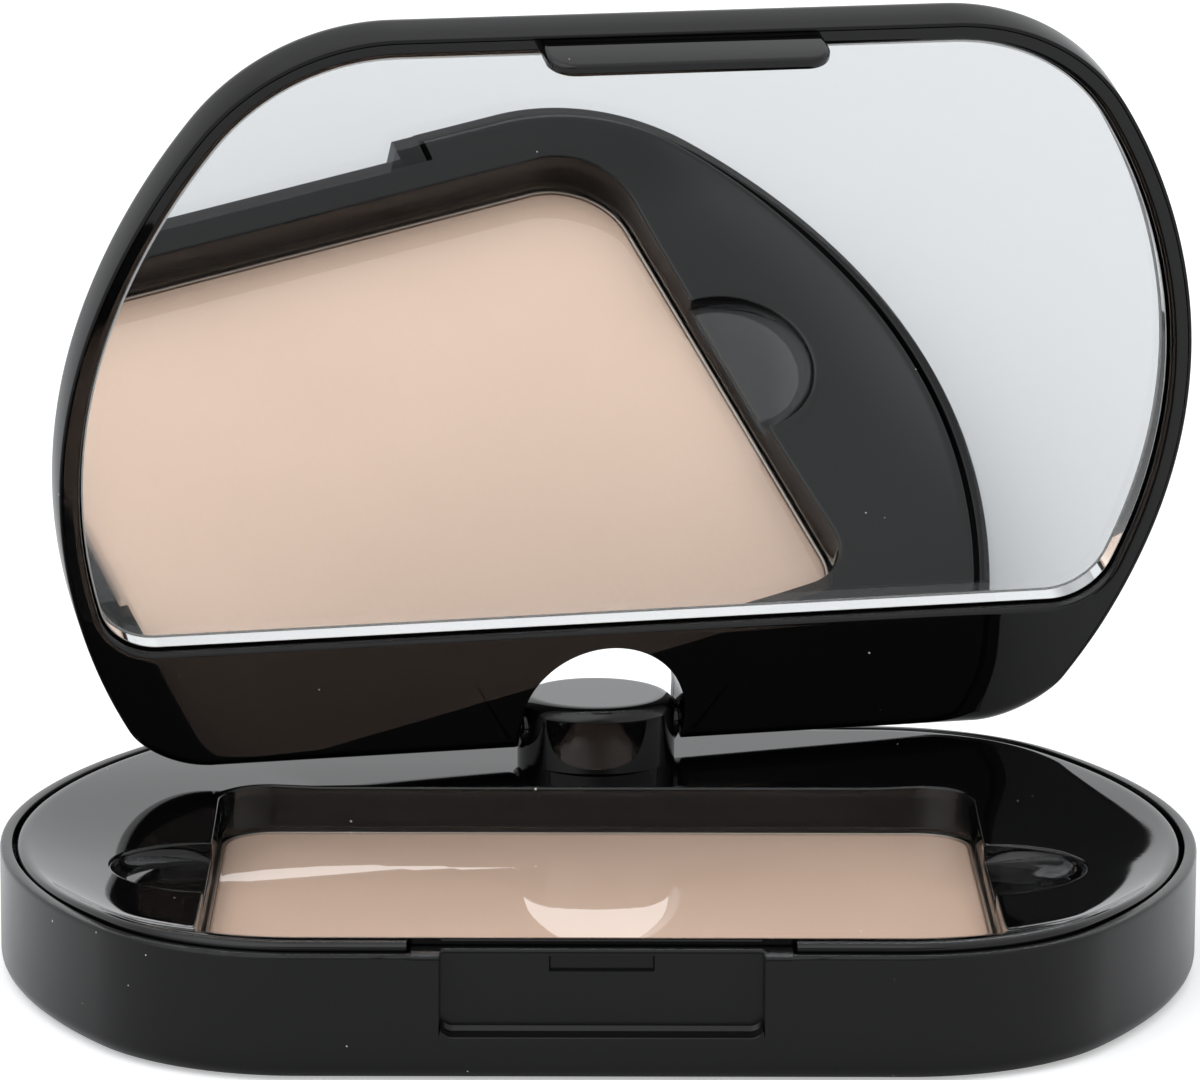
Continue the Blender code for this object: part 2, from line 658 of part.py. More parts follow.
# A bar takes the corner off the hinge edge on its rim side, so that it turns clear of the deck
chamfer = loft("hinge_chamfer", rectangle_outline(LENGTH, -PAST, 0.0, HINGE_CHAMFER, HINGE_CHAMFER),
               [(0.0, -PAST), (0.0, PAST)])
chamfer.rotation_euler = (math.radians(135), 0.0, 0.0)
chamfer.location = (0.0, HINGE_EDGE - HINGE_CHAMFER / 2, LID_RIM_Z + HINGE_CHAMFER / 2 - HINGE_Z)
pin_half_length = max(x for x, y, nx, ny in lid_plan if ny > 0.99) - PIN_END_GAP
pin_bore = rod("pin_bore", PIN_BORE, pin_half_length + SEAT_GAP)
chamfer.parent = pin_bore.parent = tilt_axis
join(mirror_frame, inner_block, end_block)
cut(mirror_frame, mirror_opening, chamfer, frame_notch, pin_bore)
join(mirror_frame, tab, ridge)
finish(mirror_frame, (0.008, 0.008, 0.009), 0.06)

# Mirror glass on its adhesive pad
mirror_front = LID_RIM_Z + MIRROR_RECESS
mirror = loft("mirror", mirror_outline, [
    (mirror_inset + MIRROR_BEVEL, mirror_front),
    (mirror_inset, mirror_front + MIRROR_BEVEL),
    (mirror_inset, mirror_front + MIRROR_THICKNESS),
])
finish(mirror, (0.86, 0.88, 0.88), 0.01, metallic=1.0)

pad_inset = mirror_inset + PAD_MARGIN
pad_high = LID_CEILING_Z - MIRROR_GAP
mirror_pad = loft("mirror_pad", mirror_outline, [(pad_inset, pad_high - PAD_THICKNESS), (pad_inset, pad_high)])
finish(mirror_pad, (0.80, 0.80, 0.78), 0.7)
on_lid(mirror, mirror_pad)

# Tilt pin, through the frame's block and the post
tilt_pin = rod("tilt_pin", PIN_RADIUS, pin_half_length)
round_edges(tilt_pin, PIN_BREAK, 1)
tilt_pin.parent = tilt_axis
finish(tilt_pin, (0.62, 0.62, 0.64), 0.25, metallic=1.0)

bpy.context.view_layer.update()
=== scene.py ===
"""Powder compact, standing open with its mirror lid turned and tilted on a round post.

Metres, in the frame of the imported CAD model: the origin is the middle of the base's underside, +Y points
to the hinge and +Z up. Pieces of the lid are worked out shut, over the base, and turned to their open place
at the end.
"""

import json
import math

import bmesh
import bpy
import numpy as np
from mathutils import Matrix, Vector


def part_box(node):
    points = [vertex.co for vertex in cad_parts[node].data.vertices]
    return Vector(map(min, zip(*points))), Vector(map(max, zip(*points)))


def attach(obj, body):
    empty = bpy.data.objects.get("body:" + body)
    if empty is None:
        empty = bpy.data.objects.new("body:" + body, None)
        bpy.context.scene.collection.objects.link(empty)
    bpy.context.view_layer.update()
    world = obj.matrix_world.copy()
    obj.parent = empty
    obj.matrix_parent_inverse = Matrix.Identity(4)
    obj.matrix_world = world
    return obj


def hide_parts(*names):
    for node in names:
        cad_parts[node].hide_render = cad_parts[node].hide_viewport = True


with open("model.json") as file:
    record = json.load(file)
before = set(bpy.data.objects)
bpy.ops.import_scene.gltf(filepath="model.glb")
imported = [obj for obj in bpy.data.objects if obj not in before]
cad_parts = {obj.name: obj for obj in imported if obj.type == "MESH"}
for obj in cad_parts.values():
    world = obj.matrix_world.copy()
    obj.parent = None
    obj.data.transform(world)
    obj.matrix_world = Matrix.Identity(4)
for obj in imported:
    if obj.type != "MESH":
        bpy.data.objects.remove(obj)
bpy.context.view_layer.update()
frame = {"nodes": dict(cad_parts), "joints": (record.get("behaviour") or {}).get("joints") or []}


# Base shell. A satin black moulded tray with a rounded bottom edge, a thin rim, and a recess in the front
# wall that takes the lid's tab. Injection moulded in one piece; the deck drops into it.
LENGTH, DEPTH = 0.0880, 0.0693
END_RADIUS, SIDE_RADIUS, CORNER_RADIUS = 0.0446, 0.0509, 0.0174
END_HALF_ANGLE = math.radians(14.84)
RIM_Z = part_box("base_shell")[1].z
RIM_WIDTH = 0.0009
BOTTOM_ROUND = 0.0012
RECESS_HALF, RECESS_DEPTH, RECESS_FLOOR = 0.0112, 0.00195, RIM_Z - 0.0059
RECESS_CORNER = 0.0009
PANEL_HALF, PANEL_WIDTH, PANEL_DROP = 0.0132, 0.0010, 0.0001
RECESS_FOOT_IN, RECESS_FOOT_LOW, RECESS_FOOT_HIGH = 0.0003, 0.0001, 0.0004
GROOVE_HALF, GROOVE_LOW, GROOVE_HIGH, GROOVE_DEPTH = 0.0036, RIM_Z - 0.00157, RIM_Z - 0.00057, 0.0005
RIM_OUT_ROUND, RIM_IN_ROUND = 0.00025, 0.0001
LEDGE_Z, LEDGE_WIDTH, FLOOR_Z = RIM_Z - 0.00265, 0.0009, 0.0012
EDGE, FACES_FRONT = 0.00006, -0.999
END_STEPS, SIDE_STEPS, CORNER_STEPS, EDGE_STEPS = 14, 26, 40, 60
MERGE_DISTANCE = 2e-7
DUST_CELLS, SPECK_SIZE, DUST_COLOUR = 850.0, 0.075, (0.55, 0.54, 0.52, 1.0)
CLOUD_SCALE, CLOUD_DETAIL = 160.0, 4.0
GRAIN_SCALE, GRAIN_DEPTH = 5200.0, 0.00002


def quarter_plan(edge_y, corner_radius):
    """Right back quarter of the compact's plan: an end arc, a flatter side arc and a corner arc that meets
    the straight edge at edge_y, each tangent to the last. Columns: x, y, and the outward normal's x and y."""
    end_x = LENGTH / 2 - END_RADIUS
    reach = END_RADIUS - SIDE_RADIUS
    side_x, side_y = end_x + reach * math.cos(END_HALF_ANGLE), reach * math.sin(END_HALF_ANGLE)
    corner_y = edge_y - corner_radius
    corner_x = side_x + math.sqrt((SIDE_RADIUS - corner_radius) ** 2 - (corner_y - side_y) ** 2)
    meet = math.atan2(corner_y - side_y, corner_x - side_x)
    arcs = (
        (end_x, 0.0, END_RADIUS, np.linspace(0.0, END_HALF_ANGLE, END_STEPS, endpoint=False)),
        (side_x, side_y, SIDE_RADIUS, np.linspace(END_HALF_ANGLE, meet, SIDE_STEPS, endpoint=False)),
        (corner_x, corner_y, corner_radius, np.linspace(meet, math.pi / 2, CORNER_STEPS)),
    )
    return np.vstack([arc_points(*arc) for arc in arcs])


def arc_points(x, y, radius, angle, sign=1.0):
    """Points round a centre with their outward normals; sign -1 turns the normals towards the centre."""
    normal = np.column_stack([np.cos(angle), np.sin(angle)])
    return np.hstack([np.array([x, y]) + radius * normal, sign * normal])


def straight(x_from, x_to, y, normal_y, stops=()):
    """Points inside a straight edge along X, evenly spaced and also at each stop."""
    x = np.linspace(x_from, x_to, EDGE_STEPS)[1:-1]
    x = np.unique(np.concatenate([x, stops]))
    x = x if x_from < x_to else x[::-1]
    return np.column_stack([x, np.full_like(x, y), np.zeros_like(x), np.full_like(x, normal_y)])


def compact_plan(stops=()):
    """The whole plan, anticlockwise from its right end, with extra points at the stops on its front edge."""
    quarter = quarter_plan(DEPTH / 2, CORNER_RADIUS)
    x = quarter[-1, 0]
    return np.vstack([
        quarter,
        straight(x, -x, DEPTH / 2, 1.0),
        quarter[::-1] * (-1, 1, -1, 1),
        -quarter[1:],
        straight(-x, x, -DEPTH / 2, -1.0, stops),
        quarter[::-1][:-1] * (1, -1, 1, -1),
    ])


def carried(plan, profile):
    """A profile of (inset, height) carried round a plan: each point moves in along its normal by the inset.
    Either value may be one number or one for each point of the plan."""
    layers = []
    for inset, height in profile:
        inset, height = np.broadcast_to(inset, len(plan)), np.broadcast_to(height, len(plan))
        layers.append(np.column_stack([plan[:, :2] - inset[:, None] * plan[:, 2:], height]))
    return np.stack(layers)


def fillet(inset, z, radius, start, end, steps=7):
    """Profile points round a centre; angles in degrees from the inward direction."""
    return [(inset + radius * math.cos(a), z + radius * math.sin(a))
            for a in np.radians(np.linspace(start, end, steps))]


def skin(name, grid, wrap=True, caps=(False, False), sharp=30.0, second=()):
    """One object over a grid of points, rows by columns: a quad between each four neighbours, the columns
    joined round where wrap is set, and a flat face over the first or last row where caps ask. Equal points
    are merged. The strips after the rows named in second take the second material."""
    rows, columns, _ = grid.shape
    index = np.arange(rows * columns).reshape(rows, columns)
    here, there = (index, np.roll(index, -1, 1)) if wrap else (index[:, :-1], index[:, 1:])
    faces = np.stack([here[:-1], there[:-1], there[1:], here[1:]], -1).reshape(-1, 4).tolist()
    faces += [index[0][::-1].tolist()] * caps[0] + [index[-1].tolist()] * caps[1]
    strips = np.repeat(np.isin(np.arange(rows - 1), second), here.shape[1])
    mesh = bpy.data.meshes.new(name)
    mesh.from_pydata(grid.reshape(-1, 3).tolist(), [], faces)
    mesh.polygons.foreach_set("material_index", np.append(strips, np.zeros(sum(caps))).astype(np.int32))
    work = bmesh.new()
    work.from_mesh(mesh)
    bmesh.ops.remove_doubles(work, verts=work.verts, dist=MERGE_DISTANCE)
    work.to_mesh(mesh)
    work.free()
    mesh.validate()
    mesh.shade_smooth()
    mesh.set_sharp_from_angle(angle=math.radians(sharp))
    obj = bpy.data.objects.new(name, mesh)
    bpy.context.scene.collection.objects.link(obj)
    return obj


def placed(obj, body, *nodes):
    """The piece rides its body and stands in for the named CAD nodes, which are hidden."""
    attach(obj, body)
    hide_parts(*nodes)
    return obj


def dust_group():
    """Sparse dust: one small round speck in a few cells of a cell pattern, its size set by the cell."""
    group = bpy.data.node_groups.new("dust_specks", "ShaderNodeTree")
    cell_count = group.interface.new_socket("Cells", in_out="INPUT", socket_type="NodeSocketFloat")
    cell_count.default_value = DUST_CELLS
    group.interface.new_socket("Share", in_out="INPUT", socket_type="NodeSocketFloat")
    group.interface.new_socket("Mask", in_out="OUTPUT", socket_type="NodeSocketFloat")
    node, link = group.nodes.new, group.links.new
    inputs, outputs = node("NodeGroupInput"), node("NodeGroupOutput")
    place, cells = node("ShaderNodeTexCoord"), node("ShaderNodeTexVoronoi")
    pick = node("ShaderNodeSeparateColor")
    link(place.outputs["Object"], cells.inputs["Vector"])
    link(inputs.outputs["Cells"], cells.inputs["Scale"])
    link(cells.outputs["Color"], pick.inputs["Color"])
    chosen, size, small, both = (node("ShaderNodeMath") for _ in range(4))
    chosen.operation = "LESS_THAN"
    link(pick.outputs["Red"], chosen.inputs[0])
    link(inputs.outputs["Share"], chosen.inputs[1])
    size.operation = "MULTIPLY"
    size.inputs[1].default_value = SPECK_SIZE
    link(pick.outputs["Green"], size.inputs[0])
    small.operation = "LESS_THAN"
    link(cells.outputs["Distance"], small.inputs[0])
    link(size.outputs[0], small.inputs[1])
    both.operation = "MULTIPLY"
    link(chosen.outputs[0], both.inputs[0])
    link(small.outputs[0], both.inputs[1])
    link(both.outputs[0], outputs.inputs["Mask"])
    return group


dust_specks = dust_group()


def set_inputs(node, values):
    """Plain values on a node's sockets."""
    for socket, value in values.items():
        node.inputs[socket].default_value = value


def principled(name, values):
    """A new material with these values on its Principled shader: the material, what makes its nodes and
    links, and the shader."""
    material = bpy.data.materials.new(name)
    material.use_nodes = True
    tree = material.node_tree
    set_inputs(tree.nodes["Principled BSDF"], values)
    return material, tree.nodes.new, tree.links.new, tree.nodes["Principled BSDF"]


def wandering(node, link, shader, low, high, scale=5.0, detail=2.0):
    """Roughness that wanders from low to high with a noise on Object coordinates."""
    place, cloud, ramp = node("ShaderNodeTexCoord"), node("ShaderNodeTexNoise"), node("ShaderNodeMapRange")
    set_inputs(cloud, {"Scale": scale, "Detail": detail})
    set_inputs(ramp, {"To Min": low, "To Max": high})
    link(place.outputs["Object"], cloud.inputs["Vector"])
    link(cloud.outputs["Fac"], ramp.inputs["Value"])
    link(ramp.outputs["Result"], shader.inputs["Roughness"])
    return place, cloud


def black_plastic(name, colour, shine, roughness, spread, grain, dust):
    """Black moulded plastic: shine sets how much it mirrors, the roughness wanders by spread over a few
    millimetres, a fine grain gives the satin, and dust specks lie on it."""
    material, node, link, shader = principled(name, {"Specular IOR Level": shine})
    place = wandering(node, link, shader, roughness - spread, roughness + spread, CLOUD_SCALE, CLOUD_DETAIL)[0]
    specks, tint = node("ShaderNodeGroup"), node("ShaderNodeMix")
    specks.node_tree = dust_specks
    tint.data_type = "RGBA"
    set_inputs(specks, {"Share": dust})
    set_inputs(tint, {"A": (*colour, 1.0), "B": DUST_COLOUR})
    link(specks.outputs["Mask"], tint.inputs["Factor"])
    link(tint.outputs["Result"], shader.inputs["Base Color"])
    if grain:
        fine, bump = node("ShaderNodeTexNoise"), node("ShaderNodeBump")
        set_inputs(fine, {"Scale": GRAIN_SCALE})
        set_inputs(bump, {"Strength": grain, "Distance": GRAIN_DEPTH})
        link(place.outputs["Object"], fine.inputs["Vector"])
        link(fine.outputs["Fac"], bump.inputs["Height"])
        link(bump.outputs["Normal"], shader.inputs["Normal"])
    return material


satin_black = black_plastic("satin_black", (0.0035, 0.0035, 0.0037), 0.23, 0.18, 0.04, 0.15, 0.20)

recess_corner_stops = np.linspace(RECESS_HALF - RECESS_CORNER, RECESS_HALF - EDGE, 9)
front_stops = np.concatenate([[GROOVE_HALF - EDGE, GROOVE_HALF + EDGE, RECESS_HALF + EDGE, PANEL_HALF - EDGE,
                               PANEL_HALF + EDGE], recess_corner_stops])
base_plan = compact_plan(np.concatenate([-front_stops, front_stops]))
at_front = base_plan[:, 3] < FACES_FRONT
across = np.abs(base_plan[:, 0])
recess = np.where(at_front & (across < RECESS_HALF), RECESS_DEPTH, 0.0)
groove = np.where(at_front & (across < GROOVE_HALF), GROOVE_DEPTH, 0.0)
inner = np.where(at_front & (across < PANEL_HALF), RECESS_DEPTH + PANEL_WIDTH, RIM_WIDTH)
top = np.where(at_front & (across < PANEL_HALF), RIM_Z - PANEL_DROP, RIM_Z)
into_corner = np.clip(across - (RECESS_HALF - RECESS_CORNER), 0.0, RECESS_CORNER)
recess_low = RECESS_FLOOR + RECESS_CORNER - np.sqrt(RECESS_CORNER ** 2 - into_corner ** 2)
recess_low = np.where(recess > 0, recess_low, RECESS_FLOOR)
out_round = fillet(RIM_OUT_ROUND, -RIM_OUT_ROUND, RIM_OUT_ROUND, 180, 90, 4)
in_round = fillet(RIM_IN_ROUND, -RIM_IN_ROUND, RIM_IN_ROUND, 90, 180, 3)
base_rows = [
    *fillet(BOTTOM_ROUND, BOTTOM_ROUND, BOTTOM_ROUND, 270, 180),
    (0.0, recess_low),
    (np.where(recess > 0, EDGE, 0.0), recess_low + EDGE),
    (recess - np.where(recess > 0, RECESS_FOOT_IN, 0.0), recess_low + RECESS_FOOT_LOW),
    (recess, recess_low + RECESS_FOOT_HIGH),
    (recess, GROOVE_LOW - EDGE),
    (recess + groove, GROOVE_LOW + EDGE),
    (recess + groove, GROOVE_HIGH - EDGE),
    (recess, GROOVE_HIGH + EDGE),
    *((recess + inset, top + height) for inset, height in out_round),
    *((inner - inset, top + height) for inset, height in in_round),
    (inner, LEDGE_Z),
    (inner + LEDGE_WIDTH, LEDGE_Z),
    (inner + LEDGE_WIDTH, FLOOR_Z),
]
base_shell = skin("base_shell_skin", carried(base_plan, base_rows), caps=(True, True))
base_shell.data.materials.append(satin_black)
placed(base_shell, "base", "base_shell")


# Deck. A gloss black insert, dished like a shallow tray: its lip stands up at the front and runs flush with
# the rim elsewhere, and it falls into a skirted well with a half-round finger pocket at each end.
DECK_EDGE = RIM_WIDTH + 0.0003
LIP_ROUND, LIP_INSET = 0.0004, 0.0019
LIP_FRONT_RISE = 0.00055
DISH_DROP, DISH_RUN, RISE_FADE = 0.00155, 0.0047, 0.00105
BACK_DROP, BACK_RUN, BACK_FROM, BACK_TO = 0.00085, 0.0152, -0.006, 0.024
LAND_SLOPE, LAND_FROM, LAND_TO = 0.17, -0.021, -0.031
RISE_BACK, RISE_FRONT = -0.010, -0.030
TOP_INSET = 0.00325
TAB_GAP_HALF = PANEL_HALF + 0.0003
WELL_HALF, WELL_FRONT, WELL_BACK = 0.0286, -0.0292, 0.0176
WELL_FRONT_RADIUS, WELL_BACK_RADIUS = 0.0065, 0.0043
POCKET_Y, POCKET_RADIUS, POCKET_FLOOR, POCKET_ROUND = -0.0052, 0.0070, RIM_Z - 0.00275, 0.0045
WELL_EDGE_ROUND, POCKET_LIP, POCKET_LIP_DROP = 0.00022, 0.0003, 0.00002
SKIRT_WALL, UNDER_POCKET = 0.0009, RIM_Z - 0.0037
SKIRT_BOTTOM, DECK_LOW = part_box("deck")[0].z, LEDGE_Z + 0.0003
TOP_ROWS, TOP_CROWDING, FINE_POINTS = 30, 0.8, 12000
TOLERANCE = 1e-6
HINGE_Y = frame["joints"][0]["pos_m"][1]

gloss_black = black_plastic("gloss_black", (0.0015, 0.0015, 0.0016), 0.36, 0.035, 0.015, 0.0, 0.16)


def well_plan(inset=0.0, step=40):
    """The well's plan: a rectangle with rounded corners, anticlockwise from its right side."""
    corners = (
        (WELL_HALF - WELL_BACK_RADIUS, WELL_BACK - WELL_BACK_RADIUS, WELL_BACK_RADIUS, 0.0),
        (WELL_BACK_RADIUS - WELL_HALF, WELL_BACK - WELL_BACK_RADIUS, WELL_BACK_RADIUS, 0.5),
        (WELL_FRONT_RADIUS - WELL_HALF, WELL_FRONT + WELL_FRONT_RADIUS, WELL_FRONT_RADIUS, 1.0),
        (WELL_HALF - WELL_FRONT_RADIUS, WELL_FRONT + WELL_FRONT_RADIUS, WELL_FRONT_RADIUS, 1.5),
    )
    plan = np.vstack([arc_points(x, y, r, math.pi * np.linspace(a, a + 0.5, step)) for x, y, r, a in corners])
    plan[:, :2] -= inset * plan[:, 2:]
    return plan


def bearings(points):
    """Angle of each point as seen from the middle of the pockets, from 0 to a full turn."""
    return np.arctan2(points[:, 1] - POCKET_Y, points[:, 0]) % (2 * math.pi)


def along_bearings(points, angles):
    """Where a closed line round the pockets' middle is met at each angle."""
    order = np.argsort(bearings(points))
    known = bearings(points)[order]
    reach = np.hypot(points[order, 0], points[order, 1] - POCKET_Y)
    wrapped = np.concatenate([known - 2 * math.pi, known, known + 2 * math.pi])
    # Along a straight edge the reach follows 1 over the cosine, so its inverse is interpolated
    distance = 1.0 / np.interp(angles, wrapped, np.tile(1.0 / reach, 3))
    return np.column_stack([distance * np.cos(angles), POCKET_Y + distance * np.sin(angles)])


def dense(points, spacing=0.0002):
    """A closed line with points added along its straight runs, at most spacing apart."""
    ends = np.vstack([points, points[:1]])
    steps = np.maximum(np.ceil(np.hypot(*np.diff(ends, axis=0).T) / spacing).astype(int), 1)
    place = np.concatenate([i + np.arange(n) / n for i, n in enumerate(steps)])
    return np.column_stack([np.interp(place, np.arange(len(ends)), ends[:, k]) for k in (0, 1)])


def smooth_step(value, low, high):
    """From 0 at low to 1 at high along 3t^2 - 2t^3."""
    t = np.clip((value - low) / (high - low), 0.0, 1.0)
    return t * t * (3 - 2 * t)


def rise(y):
    """The lip's extra height at Y: none at the sides and back, all of it at the front, with a smooth step."""
    return LIP_FRONT_RISE * smooth_step(y, RISE_BACK, RISE_FRONT)


def deck_height(inset, y):
    """Height of the dished top. At the ends it falls away from the lip exponentially, towards the back less
    and in a straight slope, with a smooth step in between. Along the front the land behind the lip slopes
    gently to the well."""
    inward = np.maximum(inset - LIP_INSET, 0.0)
    at_back = smooth_step(y, BACK_FROM, BACK_TO)
    fall = ((1 - at_back) * DISH_DROP * (1 - np.exp(-inward / DISH_RUN))
            + at_back * BACK_DROP * np.minimum(inward / BACK_RUN, 1.0))
    dished = RIM_Z - fall + rise(y) * np.exp(-inward / RISE_FADE)
    land = RIM_Z + rise(y) - LAND_SLOPE * inward
    at_front_land = smooth_step(y, LAND_FROM, LAND_TO)
    return (1 - at_front_land) * dished + at_front_land * land


well_line = dense(well_plan()[:, :2])
pocket_turn = np.linspace(-math.pi / 2, math.pi / 2, 60)
pocket_right = arc_points(WELL_HALF, POCKET_Y, POCKET_RADIUS, pocket_turn)[:, :2]
at_ends = np.abs(well_line[:, 0]) > WELL_HALF - TOLERANCE
beside_pocket = at_ends & (np.abs(well_line[:, 1] - POCKET_Y) < POCKET_RADIUS)
mouth_line = np.vstack([well_line[~beside_pocket], pocket_right, pocket_right * (-1, 1)])
mouth_line = mouth_line[np.argsort(bearings(mouth_line))]

lip_stops = np.array([TAB_GAP_HALF, TAB_GAP_HALF - EDGE])
outer_plan = compact_plan(np.concatenate([-lip_stops, lip_stops]))
deck_angles = np.unique(np.concatenate([
    bearings(outer_plan[:, :2] - TOP_INSET * outer_plan[:, 2:]),
    bearings(well_plan()[:, :2]), bearings(pocket_right), bearings(pocket_right * (-1, 1)),
]).round(6))
closed_plan = np.vstack([outer_plan, outer_plan[:1]])
fine_place = np.linspace(0, len(outer_plan), FINE_POINTS)
fine_plan = np.column_stack([np.interp(fine_place, np.arange(len(closed_plan)), column)
                             for column in closed_plan.T])
fine_bearing = bearings(fine_plan[:, :2] - TOP_INSET * fine_plan[:, 2:])
turn = np.argsort(fine_bearing)
deck_plan = np.column_stack([np.interp(deck_angles, fine_bearing[turn], column)
                             for column in fine_plan[turn].T])
in_gap = (np.abs(deck_plan[:, 0]) < TAB_GAP_HALF - EDGE / 2) & (deck_plan[:, 3] < FACES_FRONT)
rim_line = deck_plan[:, :2] - TOP_INSET * deck_plan[:, 2:]
mouth = along_bearings(mouth_line, bearings(rim_line))
well = along_bearings(well_line, bearings(rim_line))

# The top: rays from the lip's inner edge to the mouth of the well and pockets, ending in a small round
ray = mouth - rim_line
ray_length = np.hypot(ray[:, 0], ray[:, 1])[:, None]
ray = ray / ray_length
share = np.linspace(0.0, 1.0, TOP_ROWS) ** TOP_CROWDING
turns = np.radians(np.linspace(12, 90, 6))
top_rows = [rim_line + ray * (ray_length - WELL_EDGE_ROUND) * s for s in share]
top_rows += [mouth - ray * WELL_EDGE_ROUND * (1 - math.sin(t)) for t in turns]
drop = np.concatenate([np.zeros(len(share)), WELL_EDGE_ROUND * (1 - np.cos(turns))])
top_rows = np.stack(top_rows)
flat_points = top_rows.reshape(-1, 2)
plan_line = fine_plan[::6, :2]
inset_of = np.concatenate([
    np.sqrt(((chunk[:, None, :] - plan_line[None]) ** 2).sum(-1).min(1))
    for chunk in np.array_split(flat_points, 40)
]).reshape(top_rows.shape[:2])
inset_of[0] = TOP_INSET
heights = deck_height(inset_of, top_rows[..., 1]) - drop[:, None]

# The walls: down the pocket's rounded bowl, in to the well's own edge, and down the skirt
to_well = well - mouth
pocket_run = np.hypot(to_well[:, 0], to_well[:, 1])[:, None]
inward = np.where(pocket_run > TOLERANCE, to_well / np.maximum(pocket_run, TOLERANCE), 0.0)
hollow = np.minimum(POCKET_ROUND, 0.8 * pocket_run)
wall_points, wall_heights = [], []
for t in np.radians(np.linspace(0, 90, 14))[1:]:
    wall_points.append(mouth + inward * hollow * (1 - math.cos(t)))
    wall_heights.append(heights[-1] + (POCKET_FLOOR - heights[-1]) * math.sin(t))
lip_of_floor = np.minimum(POCKET_LIP, 0.15 * pocket_run)
for t in np.radians(np.linspace(0, 90, 5)):
    wall_points.append(well - inward * lip_of_floor * (1 - math.sin(t)))
    wall_heights.append(np.full(len(mouth), POCKET_FLOOR - POCKET_LIP_DROP - POCKET_LIP * (1 - math.cos(t))))
behind_well, behind_mouth = well - SKIRT_WALL * ray, mouth - SKIRT_WALL * ray
for line, height in ((well, SKIRT_BOTTOM), (behind_well, SKIRT_BOTTOM), (behind_well, UNDER_POCKET),
                     (behind_mouth, UNDER_POCKET), (behind_mouth, DECK_LOW)):
    wall_points.append(line)
    wall_heights.append(np.full(len(mouth), height))

# The lip: from the deck's outer edge up, over and down to the top; at the tab's gap only an upright wall
lip_profile = [(DECK_EDGE, None)]
lip_profile += fillet(DECK_EDGE + LIP_ROUND, -LIP_ROUND, LIP_ROUND, 180, 90)
lip_profile += [(inset, 0.0) for inset in np.linspace(DECK_EDGE + LIP_ROUND, TOP_INSET, 9)[1:]]
lip_rows = []
for step, (inset, below) in enumerate(lip_profile):
    y = deck_plan[:, 1] - inset * deck_plan[:, 3]
    height = np.full(len(y), DECK_LOW) if below is None else deck_height(inset, y) + below
    upright_wall = DECK_LOW + (heights[0] - DECK_LOW) * step / (len(lip_profile) - 1)
    lip_rows.append((np.where(in_gap, TOP_INSET, inset), np.where(in_gap, upright_wall, height)))
lip_grid = carried(deck_plan, lip_rows)
deck_grid = np.concatenate([
    lip_grid,
    np.dstack([top_rows, heights])[1:],
    np.dstack([np.stack(wall_points), np.stack(wall_heights)]),
    lip_grid[:1],
])
deck = skin("deck_skin", deck_grid)
deck.data.materials.append(gloss_black)
placed(deck, "base", "deck")


# Pan and pressed powder. A thin bright metal pan, glued to the floor, holds a beige cake that was pressed
# through a woven cloth, which leaves a faint ribbed grain on its face.
PAN_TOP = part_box("powder_pan")[1].z
PAN_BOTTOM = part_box("powder_pan")[0].z
CAKE_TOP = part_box("powder_cake")[1].z
PAN_GAP, PAN_WALL, PAN_ROUND, PAN_EDGE = 0.00015, 0.0002, 0.0006, 0.00004
CAKE_INSET, CAKE_ROUND, CAKE_GAP = 0.0004, 0.0003, 0.0001
STREAKS, STREAK_SPREAD = (120.0, 2600.0, 2600.0), 0.06
RIB_SHARE = 0.35


def bright_metal(name, colour, roughness):
    """Rolled sheet metal: fine streaks along X carry the roughness up and down."""
    material, node, link, shader = principled(name, {"Base Color": (*colour, 1.0), "Metallic": 1.0})
    place, streaks = wandering(node, link, shader, roughness - STREAK_SPREAD, roughness + STREAK_SPREAD)
    stretch = node("ShaderNodeMapping")
    set_inputs(stretch, {"Scale": STREAKS})
    link(place.outputs["Object"], stretch.inputs["Vector"])
    link(stretch.outputs["Vector"], streaks.inputs["Vector"])
    return material


pan_rows = [
    *fillet(PAN_GAP + PAN_ROUND, PAN_BOTTOM + PAN_ROUND, PAN_ROUND, 270, 180),
    (PAN_GAP, PAN_TOP - PAN_EDGE),
    (PAN_GAP + PAN_EDGE, PAN_TOP),
    (PAN_GAP + PAN_WALL - PAN_EDGE, PAN_TOP),
    (PAN_GAP + PAN_WALL, PAN_TOP - PAN_EDGE),
    (PAN_GAP + PAN_WALL, PAN_BOTTOM + PAN_WALL),
]
powder_pan = skin("powder_pan_skin", carried(well_plan(), pan_rows), caps=(True, True))
powder_pan.data.materials.append(bright_metal("pan_metal", (0.60, 0.53, 0.46), 0.42))
placed(powder_pan, "base", "powder_pan")

cake_rows = [
    (CAKE_INSET, PAN_BOTTOM + PAN_WALL + CAKE_GAP),
    *fillet(CAKE_INSET + CAKE_ROUND, CAKE_TOP - CAKE_ROUND, CAKE_ROUND, 180, 90),
]
powder_cake = skin("powder_cake_skin", carried(well_plan(), cake_rows), caps=(True, True))


